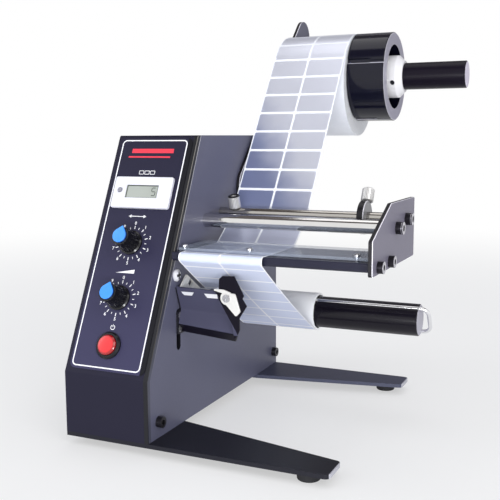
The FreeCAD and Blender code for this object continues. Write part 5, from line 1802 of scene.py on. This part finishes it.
@dataclass
class RewindDrive(Assembly):
    """Rewind shaft, wire clip, wound liner, bush and gear motor."""

    parts: tuple[Part, ...] = (
        Part("rewind_shaft", Finishes.REWIND, "shaft_black", body=Body.REWIND),
        Part("rewind_clip", Finishes.WIRE, "chrome_rod", body=Body.CLIP),
        Part("liner_roll", Finishes.LINER_ROLL, "liner_white", 0.2, Body.REWIND),
        Part("motor_output_shaft", Finishes.ZINC),
        Part("rewind_bearing", Finishes.BRASS, "bush_brass"),
        Part("gear_motor", Finishes.ZINC),
        Part("motor_screws", Finishes.BLACK_SCREW, "black_screw"),
    )


@dataclass
class SensorStation(Assembly):
    """Sensing tray on its carrier, lever and micro switch."""

    parts: tuple[Part, ...] = (
        Part("sensor_bracket", Finishes.BRACKET, "zinc_plate", body=Body.CARRIER),
        Part("label_tray", Finishes.TRAY, "tray_black", body=Body.CARRIER),
        Part("switch_plate", Finishes.BRIGHT_PLATE, "zinc_plate", body=Body.CARRIER),
        Part("sensing_lever", Finishes.BRIGHT_PLATE, "zinc_plate", 0.15, Body.LEVER),
        Part("micro_switch", Finishes.CASE),
        Part("switch_plunger", Finishes.PLUNGER),
        Part("sensor_screws", Finishes.PIVOT, "screw_steel", body=Body.CARRIER),
    )
    windows: tuple[tuple[Point, ...], ...] = (
        ((4.3, 97.2), (6.3, 94.7), (12.3, 94.7), (14.3, 97.2)),
        ((21.7, 96.9), (23.7, 93.8), (31.7, 93.8), (31.7, 96.9)),
    )
    left_edge: tuple[float, float, float, float] = (1.6, 38.6, 100.4, 0.381)
    right_edge: tuple[float, float, float, float] = (44.5, 41.2, 98.6, 0.341)
    window_depth: float = 0.4
    window_t: float = 0.3

    def tray_front(self, x: float, z: float) -> float:
        """The y of the tray's upper face at a place across it and a height, in millimetres."""
        left, right = (y + (top - z) * lean for _, y, top, lean in (self.left_edge, self.right_edge))
        return left + (right - left) * (x - self.left_edge[0]) / (self.right_edge[0] - self.left_edge[0])

    def build(self) -> None:
        """Makes a pale sheet behind the tray's two windows, painted light that stands in for the brightness
        seen through them.
        """
        work = bmesh.new()
        for outline in self.windows:
            points = [datum.at(x, self.tray_front(x, z) + self.window_depth, z) for x, z in outline]
            face = work.faces.new([work.verts.new(point) for point in points])
            Maker.shift(work, bmesh.ops.extrude_face_region(work, geom=[face]), (0, self.window_t * MM, 0))
        bmesh.ops.recalc_face_normals(work, faces=work.faces)
        Maker.piece("tray_window_painted_light", work, Finishes.WINDOW, Body.CARRIER, "counter_white")


@dataclass
class Inside(Assembly):
    """Board and inlet."""

    parts: tuple[Part, ...] = (
        Part("control_board", Finishes.BOARD),
        Part("power_inlet", Finishes.CASE, "inlet_black"),
    )


def aimed(at: Sequence[float], to: Sequence[float]) -> Matrix:
    """The placing of a thing at a point that faces another."""
    turn = (Vector(to) - Vector(at)).to_track_quat("-Z", "Y")
    return Matrix.Translation(at) @ turn.to_matrix().to_4x4()


@dataclass(frozen=True)
class Lamp:
    """A soft box: its name, place, aim and size in metres, power in watts, and colour."""

    name: str
    at: Sequence[float]
    to: Sequence[float]
    size: Point
    power: float
    colour: Colour

    def hang(self) -> None:
        """Hangs the lamp."""
        data = bpy.data.lights.new(self.name, "AREA")
        data.shape = "RECTANGLE"
        data.size, data.size_y = self.size
        data.energy = self.power
        data.color = self.colour
        made = bpy.data.objects.new(self.name, data)
        made.matrix_world = aimed(self.at, self.to)
        bpy.context.scene.collection.objects.link(made)


@dataclass(frozen=True)
class MirrorCard:
    """A toned card that only polished pieces mirror: its name, place, aim and size in metres."""

    name: str
    at: Sequence[float]
    to: Sequence[float]
    size: Point
    tone: Colour

    def hang(self) -> None:
        """Hangs the card."""
        work = bmesh.new()
        bmesh.ops.create_grid(work, x_segments=1, y_segments=1, size=0.5)
        work.transform(aimed(self.at, self.to) @ Matrix.Diagonal((*self.size, 1.0, 1.0)))
        made = Maker.thing(self.name, work)
        for ray in ("camera", "diffuse", "shadow", "transmission"):
            setattr(made, "visible_" + ray, False)
        shader = Shader(self.name + "_tone")
        shader.set(Base_Color=BLACK, Specular_IOR_Level=0.0, Emission_Color=self.tone, Emission_Strength=1.0)
        made.data.materials.append(shader.material)


@dataclass
class Studio:
    """Floor, cards, lamps and the camera at the photograph's place."""

    camera_at: tuple[float, float, float] = (279.7, -452.4, 203.1)
    looks_along: tuple[float, float, float] = (-0.4081, 0.9028, -0.1357)
    roll: float = -0.25
    focal_px: float = 824.0
    frame_px: float = 500.0
    sensor: float = 36.0
    floor_radius: float = 3.0
    floor_fade: Point = (0.3, 1.4)
    lift: float = 0.5
    paper: Colour = (0.9, 0.9, 0.9)
    room: Colour = (0.92, 0.94, 1.0)
    room_strength: float = 0.5
    hung: tuple[Lamp | MirrorCard, ...] = (
        MirrorCard("rear_dark_card", (-0.6, 2.4, 1.15), (0.0, 0.0, 1.15), (5.0, 2.1), (0.28, 0.27, 0.3)),
        MirrorCard("roof_dark_card", (-0.6, 0.4, 2.3), (-0.6, 0.4, 0.0), (5.0, 4.0), (0.14, 0.125, 0.125)),
        Lamp("key_soft_box", (1.1, -0.9, 1.1), (0.0, 0.0, 0.15), (0.9, 0.9), 6.5, (1.0, 0.99, 0.97)),
        Lamp("left_soft_box", (-1.2, -0.8, 0.8), (0.0, 0.0, 0.12), (0.7, 1.0), 4.0, (0.93, 0.96, 1.0)),
        Lamp("top_soft_box", (0.0, 0.2, 1.5), (0.0, 0.0, 0.1), (1.0, 1.0), 4.0, WHITE),
        Lamp("low_front_soft_box", (0.5, -1.3, 0.25), (0.05, 0.0, 0.12), (1.2, 0.4), 3.0, (0.97, 0.98, 1.0)),
        Lamp("floor_level_soft_box", (0.45, -1.1, 0.06), (0.05, 0.0, 0.2), (1.2, 0.1), 10.0,
             (0.97, 0.98, 1.0)),
    )

    def camera(self) -> None:
        """Makes the camera."""
        data = bpy.data.cameras.new("studio_camera")
        data.sensor_width = self.sensor
        data.lens = self.focal_px / self.frame_px * self.sensor
        data.clip_start = 0.01
        forward = Vector(self.looks_along).normalized()
        right = forward.cross(Vector((0, 0, 1))).normalized()
        turn = Matrix((right, right.cross(forward), -forward)).transposed().to_4x4()
        roll = Matrix.Rotation(math.radians(self.roll), 4, "Z")
        made = bpy.data.objects.new("studio_camera", data)
        made.matrix_world = Matrix.Translation(datum.at(*self.camera_at)) @ turn @ roll
        bpy.context.scene.collection.objects.link(made)
        bpy.context.scene.camera = made

    def floor(self) -> None:
        """Makes a pale round floor that fades into the white background."""
        work = bmesh.new()
        bmesh.ops.create_circle(work, cap_ends=True, segments=96, radius=self.floor_radius)
        made = Maker.thing("studio_floor", work)
        shader = Shader("studio_paper")
        shader.here = shader.place()
        x, y, _ = shader.parts(shader.here)
        fade = ((x * x + y * y) ** 0.5).ramp(*self.floor_fade) * (1 - self.lift) + self.lift
        tone = shader.mix(Grain(60.0).read(shader), shade(self.paper, 0.995), self.paper)
        shader.set(Base_Color=tone, Roughness=0.9, Specular_IOR_Level=0.1)
        shader.whiten(fade * shader.straight_rays(), shader.surface.outputs[0], "ShaderNodeEmission",
                      "Material Output")
        made.data.materials.append(shader.material)

    def world(self) -> None:
        """Makes the soft room light, which the straight rays see white."""
        world = bpy.data.worlds.new("studio_room")
        bpy.context.scene.world = world
        world.use_nodes = True
        nodes = Nodes(world.node_tree)
        background = nodes.tree.nodes["Background"]
        nodes.feed(background.inputs["Color"], self.room)
        nodes.feed(background.inputs["Strength"], self.room_strength)
        nodes.whiten(nodes.straight_rays(), background.outputs[0], "ShaderNodeBackground", "World Output")

    def build(self) -> None:
        """Sets up the whole studio."""
        bpy.context.scene.view_settings.view_transform = "Standard"
        self.camera()
        self.floor()
        self.world()
        for thing in self.hung:
            thing.hang()


def main() -> None:
    """Builds the studio and every sub-assembly in order."""
    logging.basicConfig(level=logging.INFO, format="%(name)s %(message)s")
    Studio().build()
    for assembly in (ControlBox(), Panel(), Reel(), Web(), Guides(), PeelStation(), RewindDrive(),
                     SensorStation(), Inside()):
        assembly.dress()
        assembly.build()


if __name__ == "__main__":
    main()
